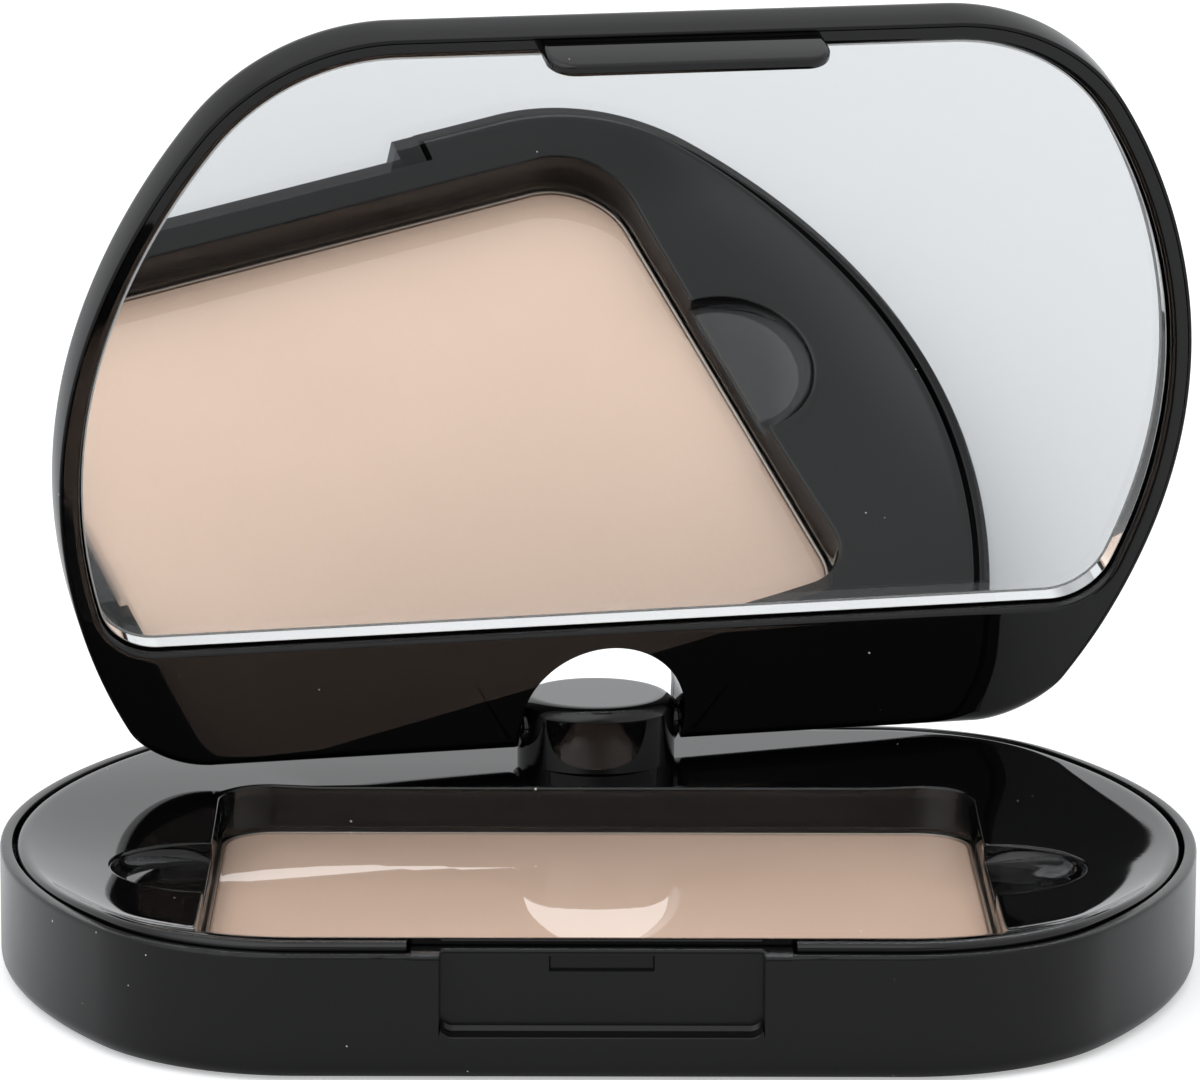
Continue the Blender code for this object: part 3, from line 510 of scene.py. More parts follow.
def pressed_powder(name, colour, pale):
    """Pressed powder: a warm beige that clouds towards a paler one, with a cloth's ribs and a dusty grain."""
    material, node, link, shader = principled(name, {"Roughness": 0.92, "Specular IOR Level": 0.25})
    place, cloud, grain, ribs = (node("ShaderNodeTexCoord"), node("ShaderNodeTexNoise"),
                                 node("ShaderNodeTexNoise"), node("ShaderNodeTexWave"))
    for texture in (cloud, grain, ribs):
        link(place.outputs["Object"], texture.inputs["Vector"])
    ribs.bands_direction = "X"
    set_inputs(cloud, {"Scale": 70.0})
    set_inputs(grain, {"Scale": 3800.0})
    set_inputs(ribs, {"Scale": 330.0, "Distortion": 1.2, "Detail Scale": 3.0})
    tint = node("ShaderNodeMix")
    tint.data_type = "RGBA"
    set_inputs(tint, {"A": (*colour, 1.0), "B": (*pale, 1.0)})
    link(cloud.outputs["Fac"], tint.inputs["Factor"])
    link(tint.outputs["Result"], shader.inputs["Base Color"])
    height, bump = node("ShaderNodeMath"), node("ShaderNodeBump")
    height.operation = "MULTIPLY_ADD"
    set_inputs(height, {1: RIB_SHARE})
    set_inputs(bump, {"Strength": 0.28, "Distance": 0.00004})
    link(ribs.outputs["Fac"], height.inputs[0])
    link(grain.outputs["Fac"], height.inputs[2])
    link(height.outputs[0], bump.inputs["Height"])
    link(bump.outputs["Normal"], shader.inputs["Normal"])
    return material


powder_cake.data.materials.append(pressed_powder("pressed_powder", (0.80, 0.58, 0.45), (0.85, 0.625, 0.49)))
placed(powder_cake, "base", "powder_cake")


# Clear tray. A thin clear sheet, vacuum formed to the well: it arches a little over the powder, stands up
# along the walls, and has a half-round ear in each finger pocket to lift it out by.
TRAY_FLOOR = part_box("clear_tray")[0].z
TRAY_TOP = RIM_Z - 0.0015
SHEET, CROWN, TRAY_ROUND, TRAY_EDGE, TRAY_ROWS = 0.00014, 0.0004, 0.0005, 0.0002, 14
SHEET_IOR, CLINGING_SHARE, EAR_SHARE, SHEET_SHARE = 1.46, 0.06, 0.5, 0.82
EAR_TOP, EAR_RADIUS, EAR_CROWN, EAR_MIDDLE = RIM_Z - 0.0021, POCKET_RADIUS - 0.0011, 0.0001, 0.4
WHITE = (1.0, 1.0, 1.0, 1.0)


def clear_sheet(name, share):
    """Clear sheet seen as its reflections. Both of its faces together mirror 2F / (1 + F), F by the Fresnel
    law, and a share of that is put on the face turned to the viewer; the rest is see-through. The share is
    small where the sheet clings to what is behind it."""
    material, node, link, shader = principled(name, {"Base Color": WHITE, "Metallic": 1.0, "Roughness": 0.02})
    gloss, side = node("ShaderNodeFresnel"), node("ShaderNodeNewGeometry")
    twice, more, both, front, facing = (node("ShaderNodeMath") for _ in range(5))
    set_inputs(gloss, {"IOR": SHEET_IOR})
    for math_node, operation, value in ((twice, "MULTIPLY", 2.0), (more, "ADD", 1.0), (both, "DIVIDE", 1.0),
                                        (front, "SUBTRACT", share), (facing, "MULTIPLY", 1.0)):
        math_node.operation = operation
        math_node.inputs[0 if math_node is front else 1].default_value = value
    link(gloss.outputs["Fac"], twice.inputs[0])
    link(gloss.outputs["Fac"], more.inputs[0])
    link(twice.outputs[0], both.inputs[0])
    link(more.outputs[0], both.inputs[1])
    link(side.outputs["Backfacing"], front.inputs[1])
    front.use_clamp = True
    link(both.outputs[0], facing.inputs[0])
    link(front.outputs[0], facing.inputs[1])
    link(facing.outputs[0], shader.inputs["Alpha"])
    return material


def arched(plan, inset, z, shares):
    """Rows of a sheet that closes a plan, shrinking to its middle: z plus a low arch,
    CROWN (1 - u^2)(1 - v^2) high, with u and v the place across the plan from -1 to 1."""
    edge = plan[:, :2] - inset * plan[:, 2:]
    low, high = edge.min(0), edge.max(0)
    rows = []
    for share in shares:
        points = (low + high) / 2 + share * (edge - (low + high) / 2)
        u, v = ((2 * points - low - high) / (high - low)).T
        rows.append(np.column_stack([points, z + CROWN * (1 - u * u) * (1 - v * v)]))
    return np.stack(rows)


tray_plan = well_plan()
out_shares, in_shares = np.linspace(0.0, 1.0, TRAY_ROWS), np.linspace(1.0, 0.0, TRAY_ROWS)
tray_grid = np.concatenate([
    arched(tray_plan, PAN_GAP + TRAY_ROUND, TRAY_FLOOR, out_shares),
    carried(tray_plan, [
        *fillet(PAN_GAP + TRAY_ROUND, TRAY_FLOOR + TRAY_ROUND, TRAY_ROUND, 270, 180)[1:],
        (PAN_GAP, TRAY_TOP - TRAY_EDGE),
        *fillet(PAN_GAP + SHEET / 2, TRAY_TOP - SHEET / 2, SHEET / 2, 180, 0),
        *fillet(PAN_GAP + TRAY_ROUND, TRAY_FLOOR + TRAY_ROUND, TRAY_ROUND - SHEET, 180, 270)[:-1],
    ]),
    arched(tray_plan, PAN_GAP + TRAY_ROUND, TRAY_FLOOR + SHEET, in_shares),
])
wall_strips = range(len(out_shares), len(tray_grid) - len(in_shares) - 1)
clear_tray = skin("clear_tray_skin", tray_grid, second=list(wall_strips))
clear_tray.data.materials.append(clear_sheet("clear_sheet", SHEET_SHARE))
clear_tray.data.materials.append(clear_sheet("clinging_sheet", CLINGING_SHARE))
placed(clear_tray, "base", "clear_tray")

ear_sheet = clear_sheet("ear_sheet", EAR_SHARE)
for side in (-1.0, 1.0):
    turn = np.linspace(-math.pi / 2, math.pi / 2, 60)
    ear_plan = arc_points(side * WELL_HALF, POCKET_Y, EAR_RADIUS, turn if side > 0 else turn + math.pi)
    ear_rows = []
    for low, shares in ((EAR_TOP - SHEET, out_shares), (EAR_TOP, in_shares)):
        middle = np.array([side * (WELL_HALF + EAR_MIDDLE * EAR_RADIUS), POCKET_Y])
        points = middle + shares[:, None, None] * (ear_plan[None, :, :2] - middle)
        height = low + EAR_CROWN * (1 - shares ** 2)
        ear_rows.append(np.dstack([points, np.broadcast_to(height[:, None], points.shape[:2])]))
    ear = skin(f"tray_ear_{'right' if side > 0 else 'left'}", np.concatenate(ear_rows))
    ear.data.materials.append(ear_sheet)
    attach(ear, "base")


# Swivel post. A gloss black turned post with a rounded top, standing in a low ring at the back of the deck,
# with a short boss on each side where the lid's pin goes through.
SWIVEL, OPEN = math.radians(14.785), math.radians(69.52)
HINGE_Z = RIM_Z + 0.00212
POST_RADIUS, POST_TOP, POST_ROUND = 0.0061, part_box("swivel_post")[1].z, 0.0011
NECK_RADIUS, FOOT_RADIUS, POST_CENTRE_GAP = 0.0030, 0.0059, 0.0003
SEAT_TOP, SEAT_RADIUS, SEAT_RING, SEAT_DEPTH = RIM_Z - 0.0009, 0.0060, 0.0003, 0.0012
POST_FOOT, COLLAR_LOW, COLLAR_HIGH = SEAT_TOP - 0.0001, SEAT_TOP + 0.0001, SEAT_TOP + 0.0003
BOSS_RADIUS, BOSS_HALF, BOSS_EDGE = 0.0017, 0.0063, 0.00015


def lathed(name, profile, place, caps=(True, True), sides=160):
    """A profile of (radius, height) turned about an upright axis and set in its place by a matrix; each row
    of the grid is one circle."""
    turn = np.linspace(0.0, 2 * math.pi, sides, endpoint=False)
    radius, height = np.array(profile).T
    grid = np.stack([radius[:, None] * np.cos(turn), radius[:, None] * np.sin(turn),
                     np.broadcast_to(height[:, None], (len(radius), sides))], -1)
    where = np.array(place)
    return skin(name, grid @ where[:3, :3].T + where[:3, 3], caps=caps)


post_axis = Matrix.Translation((0.0, HINGE_Y, 0.0))
post_round = fillet(POST_ROUND, POST_TOP - POST_ROUND, POST_ROUND, 180, 90, 12)
post_profile = [
    (NECK_RADIUS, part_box("swivel_post")[0].z),
    (NECK_RADIUS, POST_FOOT),
    (FOOT_RADIUS, POST_FOOT),
    (FOOT_RADIUS, COLLAR_LOW),
    (POST_RADIUS, COLLAR_HIGH),
    *((POST_RADIUS - inset, z) for inset, z in post_round),
    (POST_RADIUS - POST_ROUND - POST_CENTRE_GAP, POST_TOP),
]
swivel_post = lathed("swivel_post_skin", post_profile, post_axis)
swivel_post.data.materials.append(gloss_black)
placed(swivel_post, "post", "swivel_post")

boss_profile = [
    (BOSS_RADIUS - BOSS_EDGE, -BOSS_HALF), (BOSS_RADIUS, BOSS_EDGE - BOSS_HALF),
    (BOSS_RADIUS, BOSS_HALF - BOSS_EDGE), (BOSS_RADIUS - BOSS_EDGE, BOSS_HALF),
]
pin_axis = (Matrix.Translation((0.0, HINGE_Y, HINGE_Z)) @ Matrix.Rotation(SWIVEL, 4, "Z")
            @ Matrix.Rotation(math.pi / 2, 4, "Y"))
post_boss = lathed("post_boss", boss_profile, pin_axis, sides=64)
post_boss.data.materials.append(gloss_black)
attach(post_boss, "post")

seat_round = fillet(SEAT_RING / 2, SEAT_TOP - SEAT_RING / 2, SEAT_RING / 2, 180, 0)
seat_profile = [
    (SEAT_RADIUS + SEAT_RING, SEAT_TOP - SEAT_DEPTH),
    *((SEAT_RADIUS + SEAT_RING - inset, z) for inset, z in seat_round),
    (SEAT_RADIUS, SEAT_TOP - SEAT_DEPTH),
    (SEAT_RADIUS + SEAT_RING, SEAT_TOP - SEAT_DEPTH),
]
post_seat = lathed("post_seat", seat_profile, post_axis, caps=(False, False))
post_seat.data.materials.append(gloss_black)
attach(post_seat, "base")


# Lid shell. A satin black cover with an upright wall and a rounded outer edge. Along the straight hinge edge,
# where it has a U-shaped notch for the post, only its top plate is left, over the block of the frame.
LID_RIM_Z = RIM_Z + 0.0003
LID_HEIGHT, LID_PLATE, LID_ROUND, LID_WALL = 0.0044, 0.0011, 0.0015, 0.0016
LID_CORNER, HINGE_EDGE_Y = 0.0080, HINGE_Y + 0.00137
NOTCH_RADIUS, NOTCH_Y, NOTCH_CORNER = 0.0065, HINGE_Y - 0.00138, 0.0006
HINGE_ROUND, NOTCH_EDGE, NOTCH_ROUND = 0.0014, 0.00012, 0.0003
NOTCH_MORE_IN, NOTCH_MORE_FALL, NOTCH_BLEND = 0.00025, 0.0007, 0.0025
SHELL_EDGE, SHELL_STEP, EDGE_BREAK, TIP = 0.0003, 0.00012, 0.00005, 0.00003
NOTCH_STEPS, NOTCH_CORNER_STEPS = 80, 8
FLAT_RING, FLAT_RING_AT_HINGE = 0.0006, 0.00004
to_open = (Matrix.Translation((0.0, HINGE_Y, HINGE_Z)) @ Matrix.Rotation(SWIVEL, 4, "Z")
           @ Matrix.Rotation(-OPEN, 4, "X") @ Matrix.Translation((0.0, -HINGE_Y, -HINGE_Z)))


def opened(grid):
    """Points of the shut lid, tilted about its pin and turned with the post to where it stands open."""
    turn = np.array(to_open)
    return grid @ turn[:3, :3].T + turn[:3, 3]


def notched_edge(x_end, edge_y):
    """The hinge edge from its right end to its left: straight, with a U-shaped notch let into its middle."""
    corner_x, corner_y = NOTCH_RADIUS + NOTCH_CORNER, edge_y - NOTCH_CORNER
    right = np.vstack([
        straight(x_end, corner_x, edge_y, 1.0),
        arc_points(corner_x, corner_y, NOTCH_CORNER, np.linspace(math.pi / 2, math.pi, NOTCH_CORNER_STEPS)),
    ])
    bow = arc_points(0.0, NOTCH_Y, NOTCH_RADIUS, np.linspace(0.0, -math.pi, NOTCH_STEPS), -1.0)
    return np.vstack([right, bow, right[::-1] * (-1, 1, -1, 1)])


def lid_outline(back, hinge):
    """A plan of the lid, anticlockwise from its right end: back quarter, hinge edge and the base's front."""
    front = quarter_plan(DEPTH / 2, CORNER_RADIUS)
    x = front[-1, 0]
    return np.vstack([
        back, hinge, back[::-1] * (-1, 1, -1, 1), -front[1:], straight(-x, x, -DEPTH / 2, -1.0),
        front[::-1][:-1] * (1, -1, 1, -1),
    ])


back_quarter = quarter_plan(HINGE_EDGE_Y, LID_CORNER)
hinge_line = notched_edge(back_quarter[-1, 0], HINGE_EDGE_Y)
lid_plan = lid_outline(back_quarter, hinge_line)
at_hinge = np.zeros(len(lid_plan), bool)
at_hinge[len(back_quarter):len(back_quarter) + len(hinge_line)] = True
beside_notch = smooth_step(np.abs(lid_plan[:, 0]), NOTCH_RADIUS, NOTCH_RADIUS + NOTCH_CORNER)
low_round = np.where(at_hinge, NOTCH_EDGE + (HINGE_ROUND - NOTCH_EDGE) * beside_notch,
                     EDGE_BREAK + (HINGE_ROUND - EDGE_BREAK) * smooth_step(lid_plan[:, 3], 0.30, 1.0))


def round_low(inset):
    """How far above the rim the rounded hinge edge is: R - sqrt(R^2 - (R - inset)^2), and 0 past R."""
    into = np.clip(low_round - inset, 0.0, low_round)
    return low_round - np.sqrt(low_round ** 2 - into ** 2)


def lid_row(inset, z, block_inset, block_z):
    """One row of a lid profile, heights counted from the rim, with its own values over the frame's block."""
    return np.where(at_hinge, block_inset, inset), LID_RIM_Z + np.where(at_hinge, block_z, z)


plate_low = LID_HEIGHT - LID_PLATE
# Over the block the rows lie under the plate's edge, a hair apart so that none merge
lid_rows = [
    lid_row(LID_WALL, plate_low, 0.0004, plate_low),
    lid_row(SHELL_EDGE, plate_low - 2 * EDGE_BREAK, 0.0003, plate_low - 0.00002),
    lid_row(SHELL_EDGE, round_low(SHELL_EDGE) + EDGE_BREAK, 0.0002, plate_low - TIP),
    lid_row(SHELL_EDGE - EDGE_BREAK, round_low(SHELL_EDGE - EDGE_BREAK), 0.00015, plate_low - TIP),
    lid_row(SHELL_STEP, round_low(SHELL_STEP), 0.0001, plate_low - 0.00002),
    lid_row(TIP, np.maximum(round_low(TIP), EDGE_BREAK), EDGE_BREAK, plate_low - 0.00001),
    lid_row(0.0, np.maximum(round_low(0.0), 3 * EDGE_BREAK), 0.0, plate_low + 0.00001),
]
notch_end = NOTCH_RADIUS + NOTCH_CORNER
past_notch = smooth_step(np.abs(lid_plan[:, 0]), notch_end, notch_end + NOTCH_BLEND)
near_edge = smooth_step(lid_plan[:, 1], NOTCH_Y, HINGE_EDGE_Y - NOTCH_CORNER)
notch_in = NOTCH_ROUND + NOTCH_MORE_IN * near_edge
notch_fall = NOTCH_ROUND + NOTCH_MORE_FALL * near_edge
edge_in = np.where(at_hinge, notch_in + (LID_ROUND - notch_in) * past_notch, LID_ROUND)
edge_fall = np.where(at_hinge, notch_fall + (LID_ROUND - notch_fall) * past_notch, LID_ROUND)
for t in np.radians(np.linspace(0, 90, 12)):
    inset, height = edge_in * (1 - math.cos(t)), LID_HEIGHT - edge_fall * (1 - math.sin(t))
    height = np.where(at_hinge, np.maximum(height, plate_low + 0.00002), height)
    lid_rows.append((inset, LID_RIM_Z + height))
flat_ring = np.where(at_hinge, FLAT_RING_AT_HINGE, FLAT_RING)
lid_rows.append((edge_in + flat_ring, LID_RIM_Z + LID_HEIGHT))
lid_shell = skin("lid_shell_skin", opened(carried(lid_plan, lid_rows)), caps=(True, True))
lid_shell.data.materials.append(satin_black)
placed(lid_shell, "lid", "lid_shell")


# Mirror frame. One gloss black moulding set into the shell: a flat rim with a soft inner edge round the
# mirror, which widens by the hinge to a block that takes the pin, notched for the post and rounded to clear
# the deck.
FRAME_GAP, FRAME_RIM, FRAME_EDGE_FALL, FRAME_BACK = 0.00004, 0.00105, 0.0005, 0.0016
BLOCK_BACK = plate_low - 0.0001
MIRROR_SPREAD, FRAME_ROWS = 0.995, 9
FACE_SHARES = (0.03, 0.3, 0.55, *np.linspace(0.7, 0.99, 16))
MIRROR_INSET, MIRROR_BACK, MIRROR_CORNER = 0.0018, HINGE_Y - 0.00978, 0.0050

mirror_quarter = quarter_plan(MIRROR_BACK + MIRROR_INSET, MIRROR_CORNER + MIRROR_INSET)
run = np.concatenate([[0.0], np.cumsum(np.hypot(*np.diff(hinge_line[:, :2], axis=0).T))])
mirror_x = mirror_quarter[-1, 0] * MIRROR_SPREAD * (1 - 2 * run / run[-1])
mirror_y = np.full_like(mirror_x, MIRROR_BACK + MIRROR_INSET)
mirror_hinge = np.column_stack([mirror_x, mirror_y, np.zeros_like(mirror_x), np.ones_like(mirror_x)])
mirror_plan = lid_outline(mirror_quarter, mirror_hinge)

side_in = np.where(at_hinge, 0.0, SHELL_EDGE + FRAME_GAP)
frame_back = LID_RIM_Z + np.where(at_hinge, BLOCK_BACK, FRAME_BACK)
quarter_turn = np.radians(np.linspace(0, 90, FRAME_ROWS))
soft_edge = [(FRAME_RIM + (LID_WALL - FRAME_RIM) * math.sin(t),
              LID_RIM_Z + FRAME_EDGE_FALL * (1 - math.cos(t))) for t in quarter_turn[::-1]]
hinge_insets = [np.maximum(side_in, low_round * (1 - math.sin(t))) for t in quarter_turn]


def face_low(y):
    """How far above the rim the frame's face is at Y: flat, then the hinge edge's quarter round, by the
    formula of round_low with the distance from that edge as the inset. The notch cuts into it."""
    into = np.clip(HINGE_ROUND - (HINGE_EDGE_Y - y), 0.0, HINGE_ROUND)
    return np.where(at_hinge, HINGE_ROUND - np.sqrt(HINGE_ROUND ** 2 - into ** 2), 0.0)


hinge_round = []
for inset in hinge_insets:
    notch_into = np.clip(NOTCH_EDGE - inset, 0.0, NOTCH_EDGE)
    notch_low = (1 - beside_notch) * (NOTCH_EDGE - np.sqrt(NOTCH_EDGE ** 2 - notch_into ** 2))
    block_low = face_low(lid_plan[:, 1] - inset * lid_plan[:, 3]) + notch_low
    hinge_round.append((inset, LID_RIM_Z + np.where(at_hinge, block_low, round_low(inset))))
inner_rows = carried(mirror_plan, [(LID_WALL, LID_RIM_Z + FRAME_BACK), *soft_edge])
outer_rows = carried(lid_plan, [*hinge_round, (side_in, frame_back)])
between = []
for share in FACE_SHARES:
    points = inner_rows[-1] + share * (outer_rows[0] - inner_rows[-1])
    points[:, 2] = LID_RIM_Z + face_low(points[:, 1])
    between.append(points)
frame_grid = np.concatenate([inner_rows, np.stack(between), outer_rows, inner_rows[:1]])
mirror_frame = skin("mirror_frame_skin", opened(frame_grid))
mirror_frame.data.materials.append(gloss_black)
placed(mirror_frame, "lid", "mirror_frame")


# Snap tab, moulded on the front of the frame: a flat tongue with soft edges and rounded lower corners, and a
# small ridge on its inner side that clicks into the recess of the base.
TAB_HALF, TAB_REACH, TAB_CORNER, TAB_ROUND = 0.0107, 0.0039, 0.0020, 0.0004
TAB_FRONT, TAB_BACK, TAB_TOP = -DEPTH / 2 + 0.00045, -DEPTH / 2 + 0.00145, 0.0009
RIDGE_HALF, RIDGE_TAPER_HALF, RIDGE_POWER = 0.0032, 0.0033, 8
RIDGE_OUT, RIDGE_SUNK, RIDGE_ROUND = 0.0008, 0.0003, 0.0003
RIDGE_Y, RIDGE_Z = TAB_BACK - 0.0001, RIM_Z - 0.00107
RIDGE_STEPS, RIDGE_SIDES = 40, 24


def upright(grid):
    """A plan drawn in X and Z with depth as its height, stood up to face -Y."""
    return np.stack([grid[..., 0], -grid[..., 2], grid[..., 1]], -1)


tab_low, tab_high = LID_RIM_Z - TAB_REACH, LID_RIM_Z + TAB_TOP
tab_plan = np.vstack([
    arc_points(x, z, radius, math.pi * np.linspace(a, a + 0.5, 14))
    for x, z, radius, a in (
        (TAB_HALF - TAB_ROUND, tab_high - TAB_ROUND, TAB_ROUND, 0.0),
        (TAB_ROUND - TAB_HALF, tab_high - TAB_ROUND, TAB_ROUND, 0.5),
        (TAB_CORNER - TAB_HALF, tab_low + TAB_CORNER, TAB_CORNER, 1.0),
        (TAB_HALF - TAB_CORNER, tab_low + TAB_CORNER, TAB_CORNER, 1.5),
    )
])
tab_rows = [
    *fillet(TAB_ROUND, -TAB_BACK + TAB_ROUND, TAB_ROUND, 270, 180),
    *fillet(TAB_ROUND, -TAB_FRONT - TAB_ROUND, TAB_ROUND, 180, 90),
]
lid_tab = skin("lid_tab", opened(upright(carried(tab_plan, tab_rows))), caps=(True, True))
lid_tab.data.materials.append(gloss_black)
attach(lid_tab, "lid")

ridge_turn = np.linspace(0.0, 2 * math.pi, RIDGE_SIDES, endpoint=False)
ridge_x = np.linspace(-RIDGE_HALF, RIDGE_HALF, RIDGE_STEPS)
ridge_taper = np.sqrt(np.clip(1.0 - (np.abs(ridge_x) / RIDGE_TAPER_HALF) ** RIDGE_POWER, 0.0, 1.0))[:, None]
ridge_depth = np.where(np.sin(ridge_turn) > 0, RIDGE_OUT, RIDGE_SUNK) * np.sin(ridge_turn)
ridge_grid = np.stack([
    np.broadcast_to(ridge_x[:, None], (RIDGE_STEPS, RIDGE_SIDES)),
    RIDGE_Y + ridge_depth * ridge_taper,
    RIDGE_Z + RIDGE_ROUND * np.cos(ridge_turn) * ridge_taper,
], -1)
lid_ridge = skin("lid_ridge", opened(ridge_grid)[:, ::-1], caps=(True, True))
lid_ridge.data.materials.append(gloss_black)
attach(lid_ridge, "lid")


# Mirror. A slab of clear glass cut to the lid's outline, silvered on its back, with a fine ground chamfer.
# Its polished edge shows through the front as a white strip by the hinge.
MIRROR_FRONT, MIRROR_SILVER = LID_RIM_Z + 0.00070, LID_RIM_Z + 0.00205
FINISH_SCALE = 900.0
FACES_BACK, SILVER_SLOT = 0.99, 2
MIRROR_CHAMFER, MIRROR_SHARP = 0.00012, 8.0
mirror_rows = [
    (MIRROR_INSET + MIRROR_CHAMFER, MIRROR_FRONT),
    (MIRROR_INSET, MIRROR_FRONT + MIRROR_CHAMFER),
    (MIRROR_INSET, MIRROR_SILVER),
]
mirror_grid = opened(carried(mirror_plan, mirror_rows))
mirror = skin("mirror_glass", mirror_grid, caps=(True, True), sharp=MIRROR_SHARP, second=(0,))


def ground_glass(name, colour, low, high):
    """Ground glass, pale and dull, its roughness uneven where the edge is chipped."""
    material, node, link, shader = principled(name, {"Base Color": colour})
    wandering(node, link, shader, low, high, FINISH_SCALE)
    return material


clear_glass = principled("clear_glass", {"Base Color": WHITE, "Transmission Weight": 1.0, "IOR": 1.5,
                                         "Roughness": 0.0})[0]
silvered = principled("silvered_back", {"Base Color": (0.86, 0.88, 0.885, 1.0), "Metallic": 1.0,
                                        "Roughness": 0.0})[0]
chamfered = ground_glass("ground_glass", (0.97, 0.97, 0.96, 1.0), 0.45, 0.75)
for material in (clear_glass, chamfered, silvered):
    mirror.data.materials.append(material)
facing = np.array([polygon.normal for polygon in mirror.data.polygons])
face_material = np.zeros(len(mirror.data.polygons), np.int32)
mirror.data.polygons.foreach_get("material_index", face_material)
out_of_lid = np.array(to_open)[:3, :3] @ (0.0, 0.0, 1.0)
face_material[facing @ out_of_lid > FACES_BACK] = SILVER_SLOT
mirror.data.polygons.foreach_set("material_index", face_material)
placed(mirror, "lid", "mirror")


# Hidden pieces. The tilt pin, the spring clip and washer under the deck, the adhesive under the pan and the
# pad behind the mirror keep their CAD shapes and get their own finishes.
FINISH_SPREAD = 0.08


def plain_finish(name, colour, roughness, metallic=0.0):
    """A plain material whose roughness wanders a little."""
    material, node, link, shader = principled(name, {"Base Color": (*colour, 1.0), "Metallic": metallic})
    wandering(node, link, shader, roughness - FINISH_SPREAD, roughness + FINISH_SPREAD, FINISH_SCALE)
    return material


hidden_finishes = {
    "tilt_pin": plain_finish("pin_steel", (0.60, 0.60, 0.62), 0.26, 1.0),
    "retaining_clip": plain_finish("clip_steel", (0.54, 0.54, 0.56), 0.32, 1.0),
    "friction_washer": plain_finish("washer_nylon", (0.80, 0.79, 0.75), 0.50),
    "pan_adhesive": plain_finish("adhesive_sheet", (0.74, 0.70, 0.60), 0.60),
    "mirror_pad": plain_finish("foam_pad", (0.80, 0.80, 0.78), 0.75),
}
for node_name, finish in hidden_finishes.items():
    frame["nodes"][node_name].data.materials.clear()
    frame["nodes"][node_name].data.materials.append(finish)


# Studio. A pale floor in a bright surround that is dark only low in front and brighter in a wide soft patch,
# a soft lamp overhead, and a long lens.
FLOOR_HALF, FLOOR_DROP = 3.0, 0.0002
FRONT_RAMP, HEIGHT_RAMP, PATCH_RAMP = (-0.985, -0.86), (0.25, 0.60), (0.65, 0.95)
PATCH_DIRECTION, PATCH_LEVEL = (-0.46, -0.59, 0.67), 1.1
SKY_COLOUR = (0.975, 0.985, 1.0, 1.0)
CAMERA_PLACE, CAMERA_LENS, SENSOR_WIDTH = (-0.004111, -0.484240, 0.131471), 202.86, 36.0
VIEW_LIFT, VIEW_TURN, VIEW_ROLL = 0.20468059, -0.00854247, 0.00435736


def pale_stage(material, colour, glow):
    """A diffuse floor that keeps its shadows, with one glow for the camera and one for what mirrors it."""
    material.use_nodes = True
    nodes, link = material.node_tree.nodes, material.node_tree.links.new
    nodes.clear()
    out, plain, light, both = (nodes.new("ShaderNodeOutputMaterial"), nodes.new("ShaderNodeBsdfDiffuse"),
                               nodes.new("ShaderNodeEmission"), nodes.new("ShaderNodeAddShader"))
    path, mirrored, seen, level = (nodes.new("ShaderNodeLightPath"), nodes.new("ShaderNodeMath"),
                                   nodes.new("ShaderNodeMath"), nodes.new("ShaderNodeMath"))
    plain.inputs["Color"].default_value = (*colour, 1.0)
    mirrored.operation, seen.operation, level.operation = "ADD", "MULTIPLY_ADD", "MULTIPLY"
    link(path.outputs["Is Glossy Ray"], mirrored.inputs[0])
    link(path.outputs["Is Transmission Ray"], mirrored.inputs[1])
    link(path.outputs["Is Camera Ray"], seen.inputs[0])
    seen.inputs[1].default_value = glow[0]
    level.inputs[1].default_value = glow[1]
    link(mirrored.outputs[0], level.inputs[0])
    link(level.outputs[0], seen.inputs[2])
    link(seen.outputs[0], light.inputs["Strength"])
    link(plain.outputs[0], both.inputs[0])
    link(light.outputs[0], both.inputs[1])
    link(both.outputs[0], out.inputs["Surface"])


side = np.array([-FLOOR_HALF, FLOOR_HALF])
floor_grid = np.stack([np.broadcast_to(side, (2, 2)), np.broadcast_to(side[:, None], (2, 2)),
                       np.full((2, 2), -FLOOR_DROP)], -1)
floor = skin("floor", floor_grid, wrap=False)
floor.data.materials.append(bpy.data.materials.new("pale_floor"))
pale_stage(floor.data.materials[0], (0.70, 0.705, 0.71), (0.40, 0.0))


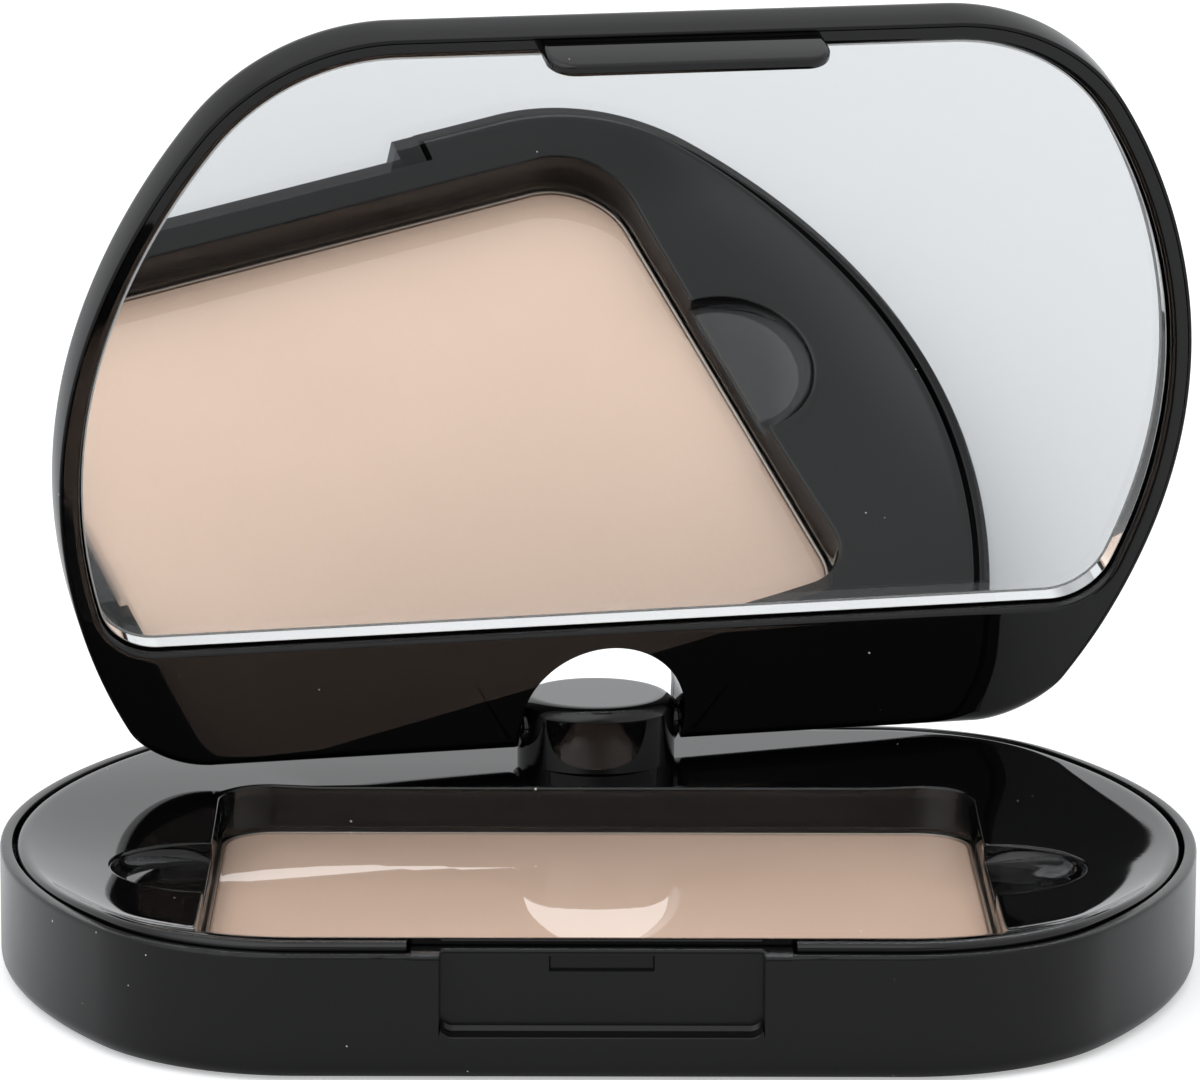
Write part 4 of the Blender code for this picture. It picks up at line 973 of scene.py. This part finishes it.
def surround(world, seen, full, dark):
    """Even light from all round but the front near the horizon: its level goes from dark to full as the
    direction turns up or away from -Y, and a wide soft patch high in front on the left adds to it. The camera
    sees one white level."""
    world.use_nodes = True
    nodes, link = world.node_tree.nodes, world.node_tree.links.new
    background = nodes["Background"]
    place, axes, path = (nodes.new("ShaderNodeTexCoord"), nodes.new("ShaderNodeSeparateXYZ"),
                         nodes.new("ShaderNodeLightPath"))
    ahead, above, most, level = (nodes.new("ShaderNodeMapRange"), nodes.new("ShaderNodeMapRange"),
                                 nodes.new("ShaderNodeMath"), nodes.new("ShaderNodeMapRange"))
    link(place.outputs["Generated"], axes.inputs["Vector"])
    for ramp, axis, (low, high) in ((ahead, "Y", FRONT_RAMP), (above, "Z", HEIGHT_RAMP)):
        set_inputs(ramp, {"From Min": low, "From Max": high})
        link(axes.outputs[axis], ramp.inputs["Value"])
        link(ramp.outputs["Result"], most.inputs[0 if ramp is ahead else 1])
    most.operation = "MAXIMUM"
    inside = nodes.new("ShaderNodeMapRange")
    set_inputs(inside, {"To Min": dark, "To Max": full})
    link(most.outputs[0], inside.inputs["Value"])
    toward, patch, total = (nodes.new("ShaderNodeVectorMath"), nodes.new("ShaderNodeMapRange"),
                            nodes.new("ShaderNodeMath"))
    toward.operation, total.operation = "DOT_PRODUCT", "ADD"
    toward.inputs[1].default_value = PATCH_DIRECTION
    patch.interpolation_type = "SMOOTHSTEP"
    set_inputs(patch, {"From Min": PATCH_RAMP[0], "From Max": PATCH_RAMP[1], "To Max": PATCH_LEVEL})
    link(place.outputs["Generated"], toward.inputs[0])
    link(toward.outputs["Value"], patch.inputs["Value"])
    link(inside.outputs["Result"], total.inputs[0])
    link(patch.outputs["Result"], total.inputs[1])
    link(path.outputs["Is Camera Ray"], level.inputs["Value"])
    link(total.outputs[0], level.inputs["To Min"])
    level.inputs["To Max"].default_value = seen
    link(level.outputs["Result"], background.inputs["Strength"])
    set_inputs(background, {"Color": SKY_COLOUR})


bpy.context.scene.world = bpy.data.worlds.new("studio")
surround(bpy.context.scene.world, 1.12, 1.0, 0.30)


def soft_lamp(name, place, target, size, watts):
    """A square soft lamp aimed at a point."""
    lamp = bpy.data.lights.new(name, "AREA")
    lamp.size = size
    lamp.energy = watts
    obj = bpy.data.objects.new(name, lamp)
    obj.location = place
    obj.rotation_euler = (Vector(target) - Vector(place)).to_track_quat("-Z", "Y").to_euler()
    bpy.context.scene.collection.objects.link(obj)


soft_lamp("top_lamp", (0.0, -0.2, 1.1), (0.0, 0.0, 0.0), 1.8, 2.5)

backward = Vector((math.sin(VIEW_TURN) * math.cos(VIEW_LIFT), -math.cos(VIEW_TURN) * math.cos(VIEW_LIFT),
                   math.sin(VIEW_LIFT)))
rightward = Vector((math.cos(VIEW_TURN), math.sin(VIEW_TURN), 0.0))
upward = backward.cross(rightward)
axes = Matrix((rightward, upward, backward)).transposed() @ Matrix.Rotation(VIEW_ROLL, 3, "Z")
camera = bpy.data.objects.new("camera", bpy.data.cameras.new("camera"))
camera.matrix_world = Matrix.Translation(CAMERA_PLACE) @ axes.to_4x4()
camera.data.sensor_width = SENSOR_WIDTH
camera.data.lens = CAMERA_LENS
camera.data.clip_start = 0.01
bpy.context.scene.collection.objects.link(camera)
bpy.context.scene.camera = camera
bpy.context.scene.view_settings.view_transform = "Standard"

bpy.context.view_layer.update()
